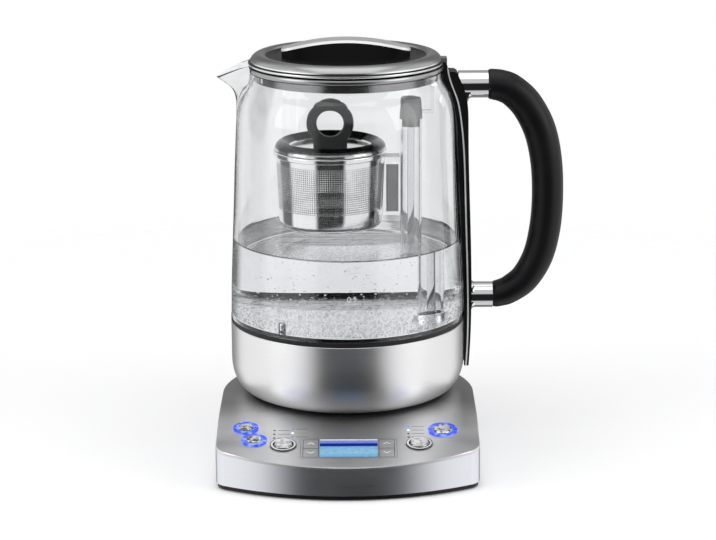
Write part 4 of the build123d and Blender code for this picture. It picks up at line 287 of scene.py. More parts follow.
def turned(name, profile, material, steps=160, smooth=35):
    """A turned piece: a closed profile, run counterclockwise in (radius, height), round the jug's axis."""
    turns = [2 * pi * i / steps for i in range(steps)]
    rings = [[(r * cos(turn), r * sin(turn), z) for r, z in profile] for turn in turns]
    piece = add_mesh(name, *ring_grid(rings, closed_rings=True), material, smooth)
    weld(piece)
    return piece


def weld(piece):
    """Weld points that meet, drop faces without area and turn the faces outwards."""
    work = bmesh.new()
    work.from_mesh(piece.data)
    bmesh.ops.remove_doubles(work, verts=work.verts, dist=1e-7)
    bmesh.ops.dissolve_degenerate(work, edges=work.edges, dist=1e-8)
    bmesh.ops.recalc_face_normals(work, faces=work.faces)
    work.to_mesh(piece.data)
    work.free()


def smooth_value(stations, t, column):
    """Catmull-Rom value at t (in steps) of one column of the stations."""
    i = min(int(t), len(stations) - 2)
    f = t - i
    p = [stations[max(0, min(len(stations) - 1, i + k))][column] for k in (-1, 0, 1, 2)]
    return 0.5 * (2 * p[1] + (p[2] - p[0]) * f + (2 * p[0] - 5 * p[1] + 4 * p[2] - p[3]) * f * f
                  + (3 * p[1] - p[0] - 3 * p[2] + p[3]) * f ** 3)


def between(table, x, column=1):
    """Smooth value of a table's column at x, its first column."""
    for i in range(len(table) - 1):
        if x <= table[i + 1][0]:
            t = i + (x - table[i][0]) / (table[i + 1][0] - table[i][0])
            return smooth_value(table, max(0.0, t), column)
    return table[-1][column]


def panel_point(x, y, proud=0.0):
    """A point over the sloping panel, proud of its top."""
    drop = (PANEL_BREAK_Y - y) * tan(PANEL_SLOPE) if y < PANEL_BREAK_Y else 0
    slope = PANEL_SLOPE if y < PANEL_BREAK_Y else 0
    return (x, y - proud * sin(slope), PANEL_FLAT_Z - drop + proud * cos(slope))


# ======================= nodes =======================
def new_group(name, kind, inputs, outputs):
    """A node group with its sockets, each a name with its type, and its input and output nodes."""
    tree = bpy.data.node_groups.new(name, kind)
    for side, sockets in (("INPUT", inputs), ("OUTPUT", outputs)):
        for label, socket in sockets.items():
            tree.interface.new_socket(name=label, in_out=side, socket_type="NodeSocket" + socket)
    return tree, tree.nodes.new("NodeGroupInput"), tree.nodes.new("NodeGroupOutput")


def set_inputs(made, values):
    """Set or link a node's inputs, by name or place."""
    for key, value in values.items():
        if isinstance(value, bpy.types.NodeSocket):
            made.id_data.links.new(value, made.inputs[key])
        else:
            made.inputs[key].default_value = value
    return made


def node(tree, kind, values=None, **settings):
    """A node with its settings and its inputs."""
    made = tree.nodes.new(kind)
    for key, value in settings.items():
        setattr(made, key, value)
    return set_inputs(made, values or {})


def maths(tree, operation, *values):
    """A number worked out from others."""
    return node(tree, "ShaderNodeMath", dict(enumerate(values)), operation=operation).outputs[0]


def vector_maths(tree, operation, *values):
    """A vector, or a length or distance, worked out from vectors."""
    made = node(tree, "ShaderNodeVectorMath", dict(enumerate(values)), operation=operation)
    return made.outputs["Value" if operation in {"LENGTH", "DISTANCE"} else "Vector"]


def mapped(tree, value, low=0.0, high=1.0, to_low=0.0, to_high=1.0, step="LINEAR"):
    """A value carried from one range to another."""
    values = {"Value": value, "From Min": low, "From Max": high, "To Min": to_low, "To Max": to_high}
    return node(tree, "ShaderNodeMapRange", values, interpolation_type=step).outputs[0]


def joined(tree, x=0.0, y=0.0, z=0.0):
    """A vector from three numbers."""
    return node(tree, "ShaderNodeCombineXYZ", {0: x, 1: y, 2: z}).outputs[0]


def mixed(tree, factor, low, high):
    """A colour between two, each a colour or a socket, by a factor."""
    low, high = (tone if isinstance(tone, bpy.types.NodeSocket) else (*tone, 1) for tone in (low, high))
    return node(tree, "ShaderNodeMix", {0: factor, 6: low, 7: high}, data_type="RGBA").outputs[2]


def ramp(tree, factor, stops):
    """Colours along a factor; a stop is its place with a colour, or with a grey level."""
    made = node(tree, "ShaderNodeValToRGB", {0: factor})
    elements = made.color_ramp.elements
    while len(elements) < len(stops):
        elements.new(0.5)
    for element, (place, tone) in zip(elements, stops):
        if isinstance(tone, float):
            tone = (tone, tone, tone * COOL)
        element.position, element.color = place, (*tone, 1)
    return made.outputs[0]


def grain_group():
    """Streaks or specks: noise over a stretched position, as a value between two limits."""
    if "grain" in bpy.data.node_groups:
        return bpy.data.node_groups["grain"]
    tree, ins, outs = new_group("grain", "ShaderNodeTree",
                                {"Position": "Vector", "Stretch": "Vector", "Low": "Float", "High": "Float",
                                 "Detail": "Float"}, {"Value": "Float", "Height": "Float"})
    stretched = vector_maths(tree, "MULTIPLY", ins.outputs["Position"], ins.outputs["Stretch"])
    noise = node(tree, "ShaderNodeTexNoise", {"Vector": stretched, "Scale": 1.0, "Detail": ins.outputs["Detail"]})
    value = mapped(tree, noise.outputs[0], 0.3, 0.7, ins.outputs["Low"], ins.outputs["High"])
    set_inputs(outs, {"Value": value, "Height": noise.outputs[0]})
    return tree


def grain(tree, position, stretch, detail=2.0, low=0.0, high=1.0):
    """The grain group in a material, stretched alike or by its own amount along each axis."""
    stretch = stretch if isinstance(stretch, tuple) else (stretch,) * 3
    return node(tree, "ShaderNodeGroup", {"Position": position, "Stretch": stretch, "Low": low, "High": high,
                                          "Detail": detail}, node_tree=grain_group())


def axis_group():
    """Position round an upright axis, as angle, radius and height."""
    if "round_axis" in bpy.data.node_groups:
        return bpy.data.node_groups["round_axis"]
    tree, ins, outs = new_group("round_axis", "ShaderNodeTree", {"Position": "Vector", "Centre": "Vector"},
                                {"Vector": "Vector", "Radius": "Float"})
    offset = vector_maths(tree, "SUBTRACT", ins.outputs["Position"], ins.outputs["Centre"])
    x, y, z = node(tree, "ShaderNodeSeparateXYZ", {0: offset}).outputs
    radius = vector_maths(tree, "LENGTH", joined(tree, x, y))
    set_inputs(outs, {"Vector": joined(tree, maths(tree, "ARCTAN2", y, x), radius, z), "Radius": radius})
    return tree


def round_axis(tree, position, centre):
    """The axis group in a material, round a centre in metres."""
    return node(tree, "ShaderNodeGroup", {"Position": position, "Centre": (*centre, 0)}, node_tree=axis_group())


def relief(tree, source, strength, distance):
    """Bumps from a grain node's height."""
    return node(tree, "ShaderNodeBump", {"Strength": strength, "Distance": distance,
                                         "Height": source.outputs["Height"]}).outputs[0]


def near(tree, position, spot, inner, outer):
    """A mask that is 1 within inner of a spot and 0 beyond outer, in metres."""
    return mapped(tree, vector_maths(tree, "DISTANCE", position, spot), inner, outer, 1.0, 0.0, "SMOOTHERSTEP")


def near_rings(tree, position, rings, inner, outer):
    """A mask round rings on the panel; its limits are millimetres added to each ring's radius."""
    found = None
    for x, y, radius in rings:
        spot = Vector(panel_point(x, y)) * MM
        mask = near(tree, position, spot, (radius + inner) * MM, (radius + outer) * MM)
        found = mask if found is None else maths(tree, "MAXIMUM", found, mask)
    return found


def range_mask(tree, value, low, high, soft):
    """1 between two limits of a value, with soft ends."""
    rise = mapped(tree, value, low - soft, low + soft, step="SMOOTHSTEP")
    fall = mapped(tree, value, high - soft, high + soft, 1.0, 0.0, "SMOOTHSTEP")
    return maths(tree, "MULTIPLY", rise, fall)


def near_oval(tree, position, centre, halves, edge, soft):
    """A mask that is 1 within an oval; along an axis whose half is 0 it runs on."""
    offset = vector_maths(tree, "SUBTRACT", position, centre)
    share = vector_maths(tree, "MULTIPLY", offset, [1 / half if half else 0 for half in halves])
    return range_mask(tree, vector_maths(tree, "LENGTH", share), -1.0, edge, soft)


def along(tree, position, axis):
    """The position along X, Y or Z, as a number."""
    return node(tree, "ShaderNodeSeparateXYZ", {0: position}).outputs[axis]


# ======================= kinds of material =======================
def parts_of(material):
    """A material's tree, its shader and the object's position."""
    found = {item.type: item for item in material.node_tree.nodes}
    return material.node_tree, found["BSDF_PRINCIPLED"], found["TEX_COORD"].outputs["Object"]


def new_material(name):
    """A material with its tree, its shader and the object's position."""
    material = bpy.data.materials.new(name)
    material.use_nodes = True
    node(material.node_tree, "ShaderNodeTexCoord")
    return material, *parts_of(material)


def tinted(tree, shader, tone, factor, dark, light):
    """Base colour between a darker and a lighter tone of one colour."""
    ends = ([min(1, part * level) for part in tone] for level in (dark, light))
    set_inputs(shader, {"Base Color": mixed(tree, factor, *ends)})


def shaded(material, factor, level):
    """Multiply a material's base colour by a level where a factor is 1."""
    tree, shader, _ = parts_of(material)
    tone = shader.inputs["Base Color"].links[0].from_socket
    share = mapped(tree, factor, to_low=1.0, to_high=level)
    set_inputs(shader, {"Base Color": vector_maths(tree, "MULTIPLY", tone, share)})
    return material


def banded(material, bands):
    """Multiply a material's base colour by a level between two heights, for each band."""
    tree, _, position = parts_of(material)
    for low, high, level in bands:
        shaded(material, range_mask(tree, along(tree, position, "Z"), low, high, BAND_EDGE), level)
    return material


def metal(name, tone, rough, stretch, centre=None, streak=0.05, bump=0.02, marks=0.05, tint=0.06, brushed=None):
    """Metal with fine streaks along one way, or round an axis, and soft marks from handling."""
    material, tree, shader, position = new_material(name)
    source = position if centre is None else round_axis(tree, position, centre).outputs["Vector"]
    lines = grain(tree, source, stretch, 3.0)
    cloud = grain(tree, position, 38)
    tinted(tree, shader, tone, lines.outputs["Value"], 1 - tint, 1 + tint * 0.6)
    gloss = mapped(tree, lines.outputs["Value"], to_low=rough - streak, to_high=rough + streak)
    set_inputs(shader, {"Roughness": maths(tree, "MULTIPLY_ADD", cloud.outputs["Value"], marks, gloss),
                        "Normal": relief(tree, lines, bump, 0.0002), "Metallic": 1.0})
    if brushed:
        axis, amount = brushed
        line = node(tree, "ShaderNodeTangent", direction_type="RADIAL", axis=axis).outputs[0]
        set_inputs(shader, {"Tangent": line, "Anisotropic": amount, "Anisotropic Rotation": 0.25})
    return material


def plastic(name, tone, rough, speck=900, bump=0.08, spread=0.06, specular=0.5, ior=1.5):
    """Moulded plastic or rubber with a fine spark texture."""
    material, tree, shader, position = new_material(name)
    cloud = grain(tree, position, 45).outputs["Value"]
    tinted(tree, shader, tone, cloud, 0.88, 1.12)
    set_inputs(shader, {"Roughness": mapped(tree, cloud, to_low=rough - spread, to_high=rough + spread),
                        "Normal": relief(tree, grain(tree, position, speck), bump, 0.0001),
                        "Specular IOR Level": specular, "IOR": ior})
    return material


def clear(name, tone, rough=0.0, ior=1.47, wave=0.0, wave_scale=60):
    """Clear glass, plastic or water, with a faint unevenness."""
    material, tree, shader, position = new_material(name)
    cloud = grain(tree, position, wave_scale, 1.0)
    tinted(tree, shader, tone, cloud.outputs["Value"], 0.985, 1.0)
    set_inputs(shader, {"Roughness": mapped(tree, cloud.outputs["Value"], to_low=rough, to_high=rough + 0.01),
                        "Transmission Weight": 1.0, "IOR": ior})
    if wave:
        set_inputs(shader, {"Normal": relief(tree, cloud, wave, 0.001)})
    return material


# ======================= operators: pieces =======================
class PieceOperator(bpy.types.Operator):
    """What all the piece operators share."""
    bl_options = {"REGISTER", "UNDO"}


def spout_reach(angle, z):
    """Outer reach of the spout from the jug's axis, at an angle from -X, or 0 beside it."""
    left = between(SPOUT_SECTIONS, z, 1)
    root = between(SPOUT_SECTIONS, z, 2)
    tip_x = left + SPOUT_TIP_RADIUS
    way = Vector((-cos(angle), sin(angle)))
    reach = 0.0
    for centre_x, radius in ((SPOUT_ROOT_X, root), (tip_x, SPOUT_TIP_RADIUS)):
        along = centre_x * way.x
        room = radius ** 2 - (centre_x * way.y) ** 2
        if room >= 0:
            reach = max(reach, along + sqrt(room))
    lean = asin((root - SPOUT_TIP_RADIUS) / (SPOUT_ROOT_X - tip_x))
    normal = Vector((-sin(lean), cos(lean)))
    start = Vector((tip_x, 0)) + normal * SPOUT_TIP_RADIUS
    end = Vector((SPOUT_ROOT_X, 0)) + normal * root
    side = Vector((way.x, abs(way.y)))
    crossing = start.dot(normal) / side.dot(normal) if side.dot(normal) > 1e-6 else 0
    if end.x >= side.x * crossing >= start.x:
        reach = max(reach, crossing)
    return reach


def lip_height(reach, angle):
    """Height of the spout's lip where its edge has this reach."""
    x = -reach * cos(angle)
    t = max(0.0, min(1.0, (x - SPOUT_TIP[0]) / (SPOUT_LIP_END[0] - SPOUT_TIP[0])))
    return SPOUT_TIP[1] + (SPOUT_LIP_END[1] - SPOUT_TIP[1]) * (1 - (1 - t) ** LIP_CURVE)


def soft_max(a, b, blend):
    """The larger of two values, with a rounded change from one to the other."""
    h = max(blend - abs(a - b), 0) / blend
    return max(a, b) + h * h * blend / 4


def glass_outer(angle, z):
    """Outer radius of the glass at an angle from -X."""
    body = between(GLASS_OUTLINE, z)
    if z < SPOUT_SECTIONS[0][0] or abs(angle) > SPOUT_HALF_TURN:
        return body
    return soft_max(body, spout_reach(angle, z), SPOUT_BLEND)


def glass_top(angle):
    """Height of the glass's upper edge at an angle from -X."""
    z = NECK_TOP
    if abs(angle) > LIP_HALF_TURN or spout_reach(angle, z) < COLLAR_CLEAR + LIP_CLEAR:
        return z
    for _ in range(12):
        z = 0.5 * (z + lip_height(glass_outer(angle, z), angle))
    return z


def glass_angles():
    """Angles from -X round the jug, close together at the spout."""
    fine, coarse, edge = radians(0.45), radians(2.25), radians(18)
    out, angle = [], -edge
    while angle < edge - 1e-6:
        out.append(angle)
        angle += fine
    while angle < 2 * pi - edge - 1e-6:
        out.append(angle)
        angle += coarse
    return [a if a <= pi else a - 2 * pi for a in out]


def smooth_step(t):
    """A soft change from 0 to 1."""
    t = max(0.0, min(1.0, t))
    return t * t * (3 - 2 * t)


def inner_outline(wall, steps=120):
    """The glass's inner outline, one wall inside the outer one along its normal."""
    low, high, half_run = GLASS_OUTLINE[0][0], GLASS_OUTLINE[-1][0], 0.4
    out = []
    for i in range(steps + 1):
        z = low + (high - low) * i / steps
        z0, z1 = max(low, z - half_run), min(high, z + half_run)
        slope = (between(GLASS_OUTLINE, z1) - between(GLASS_OUTLINE, z0)) / (z1 - z0)
        length = sqrt(1 + slope * slope)
        here = wall * (1 - THINNING * smooth_step((z - THINNING_START) / THINNING_RUN))
        out.append((z + here * slope / length, between(GLASS_OUTLINE, z) - here / length))
    return out


def straight(table, x):
    """Value of a fine table at x, by straight lines."""
    for (x0, y0), (x1, y1) in zip(table, table[1:]):
        if x <= x1:
            return y0 + (y1 - y0) * (x - x0) / (x1 - x0) if x > x0 else y0
    return table[-1][1]


def glass_material():
    """Clear glass, with painted shade in the fold under the spout."""
    material = clear("clear_glass", (0.985, 0.995, 0.995))
    tree, _, position = parts_of(material)
    return shaded(material, near_oval(tree, position, *FOLD_SHADE), 0.86)


class TEAMAKER_OT_glass(PieceOperator):
    """Jug of clear glass with its drawn spout"""
    bl_idname = "teamaker.glass"
    bl_label = "Glass jug"

    def execute(self, context):
        levels, foot = 96, GLASS_OUTLINE[0][0]
        inner_table = inner_outline(sizes().glass_wall)
        rings = []
        for angle in glass_angles():
            top = glass_top(angle)
            outer, inner = [], []
            for i in range(levels + 1):
                z = foot + (top - foot) * (1 - (1 - i / levels) ** LIP_CURVE)
                radius = glass_outer(angle, z)
                spout = radius - between(GLASS_OUTLINE, z)
                inside = straight(inner_table, z) + max(0.0, spout) - smooth_step(spout / FOLD_WIDTH) * FOLD_DEEPER
                if z > NECK_TOP + 0.01:
                    inside = max(inside, COLLAR_CLEAR)
                    radius = max(radius, COLLAR_CLEAR + 0.5)
                outer.append((-radius * cos(angle), radius * sin(angle), z))
                inner.append((-inside * cos(angle), inside * sin(angle), z))
            rings.append(outer + inner[::-1])
        piece = add_mesh("glass_jug", *ring_grid(rings, closed_rings=True), glass_material(), 50)
        weld(piece)
        finish_piece(piece, "jug", ("jug_glass",))
        return {"FINISHED"}


class TEAMAKER_OT_water(PieceOperator):
    """Water in the jug, with its raised edge at the glass"""
    bl_idname = "teamaker.water"
    bl_label = "Water"

    def execute(self, context):
        level, steps, floor = sizes().water_level, 24, PLATE_TOP - 0.1
        inner_table = inner_outline(sizes().glass_wall)
        profile = [(0.0, floor), (PLATE_RADIUS, floor), (PLATE_RADIUS, GLASS_FOOT)]
        for i in range(steps + 1):
            z = GLASS_FOOT + (level + MENISCUS_RISE - GLASS_FOOT) * i / steps
            profile.append((straight(inner_table, z) + WATER_IN_GLASS, z))
        edge = profile[-1][0]
        for i in range(1, 9):
            reach = i / 8 * MENISCUS_RUN
            profile.append((edge - reach, level + MENISCUS_RISE * exp(-reach / MENISCUS_FADE)))
        profile += [(WATER_FLAT, level), (0.0, level)]
        water = clear("water", colours().water, 0.0, 1.33, 0.02, 90)
        finish_piece(turned("water", profile, water, 144, 60), "jug")
        return {"FINISHED"}


# ======================= operators: what repeats, and the rest =======================
def baked(piece, name, body, replaced=()):
    """A plain mesh from a piece with live modifiers, which then goes."""
    bpy.context.view_layer.update()
    graph = bpy.context.evaluated_depsgraph_get()
    mesh = bpy.data.meshes.new_from_object(piece.evaluated_get(graph))
    made = bpy.data.objects.new(name, mesh)
    bpy.context.scene.collection.objects.link(made)
    bpy.data.objects.remove(piece)
    made.data.polygons.foreach_set("use_smooth", [True] * len(made.data.polygons))
    made.data.set_sharp_from_angle(angle=radians(40))
    return finish_piece(made, body, replaced)


def shape(tree, kind, values, **settings):
    """What a Geometry Nodes node makes from its inputs."""
    return node(tree, "GeometryNode" + kind, values, **settings).outputs[0]


def geometry_tree(name, inputs):
    """A Geometry Nodes tree with a geometry in and out, and its other inputs."""
    return new_group(name, "GeometryNodeTree", {"Geometry": "Geometry", **inputs}, {"Geometry": "Geometry"})


def with_tree(piece, tree, values):
    """Put a tree on a piece and set its inputs by their identifiers."""
    modifier = piece.modifiers.new(tree.name, "NODES")
    modifier.node_group = tree
    for item in tree.interface.items_tree:
        if item.item_type == "SOCKET" and item.in_out == "INPUT" and item.name in values:
            modifier[item.identifier] = values[item.name]


def finish_tree(tree, ins, outs, made, offset=None):
    """End a tree: instances made real, moved where an offset is given, and with their material."""
    made = shape(tree, "RealizeInstances", {0: made})
    if offset is not None:
        made = shape(tree, "SetPosition", {"Geometry": made, "Offset": offset})
    set_inputs(outs, {0: shape(tree, "SetMaterial", {"Geometry": made, "Material": ins.outputs["Material"]})})


class TEAMAKER_OT_bubbles(PieceOperator):
    """Small bubbles on the plate and in the water"""
    bl_idname = "teamaker.bubbles"
    bl_label = "Bubbles"

    def execute(self, context):
        tree, ins, outs = geometry_tree("bubbles", {"Count": "Int", "Radius": "Float", "Seed": "Int", "Reach": "Float",
                                                    "Bottom": "Float", "Top": "Float", "Material": "Material"})
        given = ins.outputs

        def random_value(salt, low=0.0, high=1.0):
            seed = maths(tree, "ADD", given["Seed"], salt)
            return node(tree, "FunctionNodeRandomValue", {2: low, 3: high, "Seed": seed}, data_type="FLOAT").outputs[1]

        turn = random_value(1, 0.0, 2 * pi)
        reach = maths(tree, "MULTIPLY", maths(tree, "POWER", random_value(2), 0.5), given["Reach"])
        x = maths(tree, "MULTIPLY", maths(tree, "COSINE", turn), reach)
        y = maths(tree, "MULTIPLY", maths(tree, "SINE", turn), reach)
        lift = maths(tree, "POWER", random_value(3), BUBBLES_SINK)
        place = joined(tree, x, y, mapped(tree, lift, to_low=given["Bottom"], to_high=given["Top"]))
        spots = shape(tree, "Points", {"Count": given["Count"]})
        spots = shape(tree, "SetPosition", {"Geometry": spots, "Position": place})
        ball = shape(tree, "MeshIcoSphere", {"Radius": given["Radius"], "Subdivisions": 2})
        scale = mapped(tree, maths(tree, "POWER", random_value(4), BUBBLES_SMALL), to_low=0.3)
        balls = shape(tree, "InstanceOnPoints", {"Points": spots, "Instance": ball, "Scale": scale})
        finish_tree(tree, ins, outs, balls)
        air = clear("air", (0.98, 0.99, 1.0), 0.0, 0.75)
        host = add_mesh("bubble_host", [(0, 0, 0)], [], air)
        with_tree(host, tree, {"Count": sizes().bubble_count, "Radius": sizes().bubble_radius * MM, "Seed": 7,
                               "Reach": BUBBLES_REACH * MM, "Bottom": (PLATE_TOP + BUBBLES_LIFT) * MM,
                               "Top": (sizes().water_level - 1) * MM, "Material": air})
        baked(host, "bubbles", "jug")
        return {"FINISHED"}


def on_glass(x, z):
    """A point on the front of the glass, a hair proud of it."""
    radius = between(GLASS_OUTLINE, z) + MARK_PROUD
    return (x, -sqrt(radius ** 2 - x ** 2), z)


def glass_line(x0, x1, z, half, steps=8):
    """A level line on the front of the glass."""
    spots = [x0 + (x1 - x0) * i / steps for i in range(steps + 1)]
    points = [on_glass(x, z + lift) for x in spots for lift in (-half, half)]
    return points, [(a, a + 2, a + 3, a + 1) for a in range(0, 2 * steps, 2)]


def glass_number(words, x, z):
    """A number on the front of the glass, centred on x and standing on z."""
    text = bpy.data.curves.new("number", "FONT")
    text.body, text.size, text.align_x, text.resolution_u = words, sizes().number_height, "CENTER", 3
    written = bpy.data.objects.new("number", text)
    bpy.context.scene.collection.objects.link(written)
    bpy.context.view_layer.update()
    mesh = bpy.data.meshes.new_from_object(written)
    bpy.data.objects.remove(written)
    return ([on_glass(v.co.x + x, z + v.co.y) for v in mesh.vertices],
            [tuple(face.vertices) for face in mesh.polygons])


class TEAMAKER_OT_marks(PieceOperator):
    """White capacity lines and plain numbers on the front of the glass"""
    bl_idname = "teamaker.marks"
    bl_label = "Capacity marks"

    def execute(self, context):
        parts = []
        for number, z in CAPACITY_MARKS:
            end = MARK_START_X + sizes().mark_length
            parts += [glass_line(MARK_START_X, end, z, MARK_HALF_LINE), glass_number(number, NUMBER_X, z + NUMBER_UP)]
        ink = plastic("mark_ink", (0.80, 0.81, 0.82), 0.5, 2500, 0.02)
        finish_piece(add_mesh("capacity_marks", *merged(parts), ink), "jug")
        return {"FINISHED"}


def arc(centre, axes, start, end, steps, first=0):
    """Points of an ellipse between two angles in degrees, from the first step on."""
    turns = [radians(start + (end - start) * i / steps) for i in range(first, steps + 1)]
    return [(centre[0] + axes[0] * cos(turn), centre[1] + axes[1] * sin(turn)) for turn in turns]


class TEAMAKER_OT_skirt(PieceOperator):
    """Brushed steel skirt with its rounded lower edge"""
    bl_idname = "teamaker.skirt"
    bl_label = "Steel skirt"

    def execute(self, context):
        low_inside = (SKIRT_CENTRE[0], SKIRT_CENTRE[1] - SKIRT_INNER[1])
        profile = [low_inside, *arc(SKIRT_CENTRE, SKIRT_INNER, -90, 0, 14, 1), *SKIRT_LIP,
                   *arc(SKIRT_CENTRE, SKIRT_OUTER, 0, -90, 24)]
        steel = metal("skirt_steel", colours().skirt_steel, 0.33, (0.7, 3600, 3600), (0, 0), streak=0.02,
                      bump=0.015, marks=0.03, tint=0.02, brushed=("Z", 0.7))
        tree, _, position = parts_of(steel)
        # painted shade low at the front of the skirt
        shaded(steel, near(tree, position, *SKIRT_SHADE), 0.5)
        finish_piece(turned("steel_skirt", profile[::-1], steel, 220), "jug", ("jug_skirt",))
        return {"FINISHED"}


class TEAMAKER_OT_grip(PieceOperator):
    """Black grip, round in section, bowed out from the jug"""
    bl_idname = "teamaker.grip"
    bl_label = "Handle grip"

    def execute(self, context):
        steps, around = 120, 40
        rings = []
        for i in range(steps + 1):
            t = i / steps * (len(GRIP_STATIONS) - 1)
            x, z, heading, half = (smooth_value(GRIP_STATIONS, t, column) for column in range(4))
            end = min(1.0, min(i, steps - i) / GRIP_END_RINGS)
            share = GRIP_END_SHARE + (1 - GRIP_END_SHARE) * end
            out = Vector((-sin(radians(heading)), 0, cos(radians(heading)))) * half * share
            turns = [2 * pi * j / around for j in range(around)]
            rings.append([(x + out.x * cos(a), GRIP_HALF_DEPTH * share * sin(a), z + out.z * cos(a)) for a in turns])
        black = plastic("grip_black", colours().black, 0.34, 1500, 0.05, 0.04, ior=1.33)
        piece = add_mesh("grip", *ring_grid(rings, cap_start=True, cap_end=True), black, 50)
        weld(piece)
        finish_piece(piece, "jug", ("handle_grip",))
        return {"FINISHED"}


class TEAMAKER_OT_basket_mesh(PieceOperator):
    """Wires of the tea basket's mesh"""
    bl_idname = "teamaker.basket_mesh"
    bl_label = "Basket mesh"

    def execute(self, context):
        tree, ins, outs = geometry_tree("wire_mesh", {
            "Columns": "Int", "Rows": "Int", "Wire": "Float", "Bottom radius": "Float", "Top radius": "Float",
            "Bottom": "Float", "Top": "Float", "Centre X": "Float", "Material": "Material"})
        given = ins.outputs
        low, high = (joined(tree, given[f"{end} radius"], 0.0, given[end]) for end in ("Bottom", "Top"))
        section = shape(tree, "CurvePrimitiveQuadrilateral", {"Width": given["Wire"], "Height": given["Wire"]})
        upright = shape(tree, "CurvePrimitiveLine", {"Start": low, "End": high})
        bar = shape(tree, "CurveToMesh", {"Curve": upright, "Profile Curve": section})
        index = shape(tree, "InputIndex", {})
        turn = maths(tree, "DIVIDE", maths(tree, "MULTIPLY", index, 2 * pi), given["Columns"])
        spots = shape(tree, "Points", {"Count": given["Columns"]})
        bars = shape(tree, "InstanceOnPoints", {"Points": spots, "Instance": bar, "Rotation": joined(tree, z=turn)})
        part = maths(tree, "DIVIDE", maths(tree, "ADD", index, 0.5), given["Rows"])
        height = mapped(tree, part, to_low=given["Bottom"], to_high=given["Top"])
        reach = mapped(tree, part, to_low=given["Bottom radius"], to_high=given["Top radius"])
        levels = shape(tree, "Points", {"Count": given["Rows"]})
        levels = shape(tree, "SetPosition", {"Geometry": levels, "Position": joined(tree, z=height)})
        hoop = shape(tree, "CurvePrimitiveCircle", {"Resolution": HOOP_SIDES, "Radius": 1.0}, mode="RADIUS")
        hoops = shape(tree, "InstanceOnPoints", {"Points": levels, "Instance": hoop,
                                                 "Scale": joined(tree, reach, reach, 1.0)})
        hoops = shape(tree, "RealizeInstances", {0: hoops})
        hoops = shape(tree, "CurveToMesh", {"Curve": hoops, "Profile Curve": section})
        both = node(tree, "GeometryNodeJoinGeometry", {0: hoops})
        tree.links.new(bars, both.inputs[0])
        finish_tree(tree, ins, outs, both.outputs[0], joined(tree, given["Centre X"]))
        steel = metal("mesh_steel", (0.95, 0.95, 0.95), 0.14, (400, 400, 400), streak=0.04, bump=0.0, marks=0.03,
                      tint=0.03)
        host = add_mesh("mesh_host", [(0, 0, 0)], [], steel)
        with_tree(host, tree, {"Columns": sizes().mesh_columns, "Rows": sizes().mesh_rows,
                               "Wire": 2 * sizes().mesh_wire * MM, "Bottom radius": MESH_BOTTOM[0] * MM,
                               "Bottom": MESH_BOTTOM[1] * MM, "Top radius": MESH_TOP[0] * MM,
                               "Top": MESH_TOP[1] * MM, "Centre X": BASKET_X * MM, "Material": steel})
        baked(host, "basket_wires", "basket", ("basket_mesh",))
        return {"FINISHED"}


def legend_line(x, y):
    """A short flat line on the panel, beside the light pipe at x, y."""
    x0, x1, y0, y1 = x + LEGEND_FROM, x + LEGEND_TO, y - LEGEND_HALF, y + LEGEND_HALF
    corners = [(x0, y0), (x1, y0), (x1, y1), (x0, y1)]
    return ring_grid([[panel_point(*corner, lift) for corner in corners] for lift in LEGEND_LIFT],
                     cap_start=True, cap_end=True)


def arrow(x, y, way):
    """A raised arrow head on a key, which points to the rear where way is 1."""
    points = [panel_point(x + dx, y + way * dy, lift) for lift in ARROW_LIFT for dx, dy in ARROW]
    faces = [(0, 1, 4, 5), (1, 2, 3, 4), (6, 7, 10, 11), (7, 8, 9, 10)]
    return points, faces + [(i, (i + 1) % 6, 6 + (i + 1) % 6, 6 + i) for i in range(6)]


class TEAMAKER_OT_controls(PieceOperator):
    """Legend lines of the control panel and arrow marks on its keys"""
    bl_idname = "teamaker.controls"
    bl_label = "Controls"

    def execute(self, context):
        ink = plastic("legend_ink", (0.11, 0.11, 0.12), 0.5, 2000, 0.02)
        orange = plastic("legend_orange", (0.55, 0.33, 0.12), 0.5, 2000, 0.02)
        light = plastic("arrow_ink", (0.85, 0.86, 0.88), 0.4, 2000, 0.02)
        dark_ones = (*LEDS_LEFT, LEDS_MIDDLE[0], LEDS_MIDDLE[2], *LEDS_RIGHT)
        for name, spots, material in (("legend_lines", dark_ones, ink), ("legend_line_lit", LEDS_MIDDLE[1:2], orange)):
            piece = add_mesh(name, *merged(legend_line(x, y) for x, y in spots), material)
            finish_piece(piece, "base")
        for side, across in (("left", -1), ("right", 1)):
            for kind, way in (("up", 1), ("down", -1)):
                shape = arrow(KEYS_X + across * KEY_APART_X, KEYS_Y + way * KEY_APART_Y, way)
                piece = add_mesh(f"arrow_{side}_{kind}", *shape, light)
                weld(piece)
                finish_piece(piece, f"key_{side}_{kind}")
        return {"FINISHED"}


# ======================= finishes, some with painted shade, highlights, reflections and glow ===
def display_material():
    """The lit display: a dark band near its far edge over a pale field, with faint cells."""
    material, tree, shader, position = new_material("lit_display")
    depth = mapped(tree, along(tree, position, "Y"), DISPLAY_NEAR_Y * MM, DISPLAY_FAR_Y * MM)
    field = ramp(tree, depth, DISPLAY_STOPS)
    cells = grain(tree, position, (420, 700, 420), 1.0, 0.86, 1.1).outputs["Value"]
    set_inputs(shader, {"Emission Color": vector_maths(tree, "MULTIPLY", field, cells), "Emission Strength": 0.74,
                        "Base Color": (0.004, 0.008, 0.03, 1), "Roughness": 0.12, "IOR": 1.04})
    return material


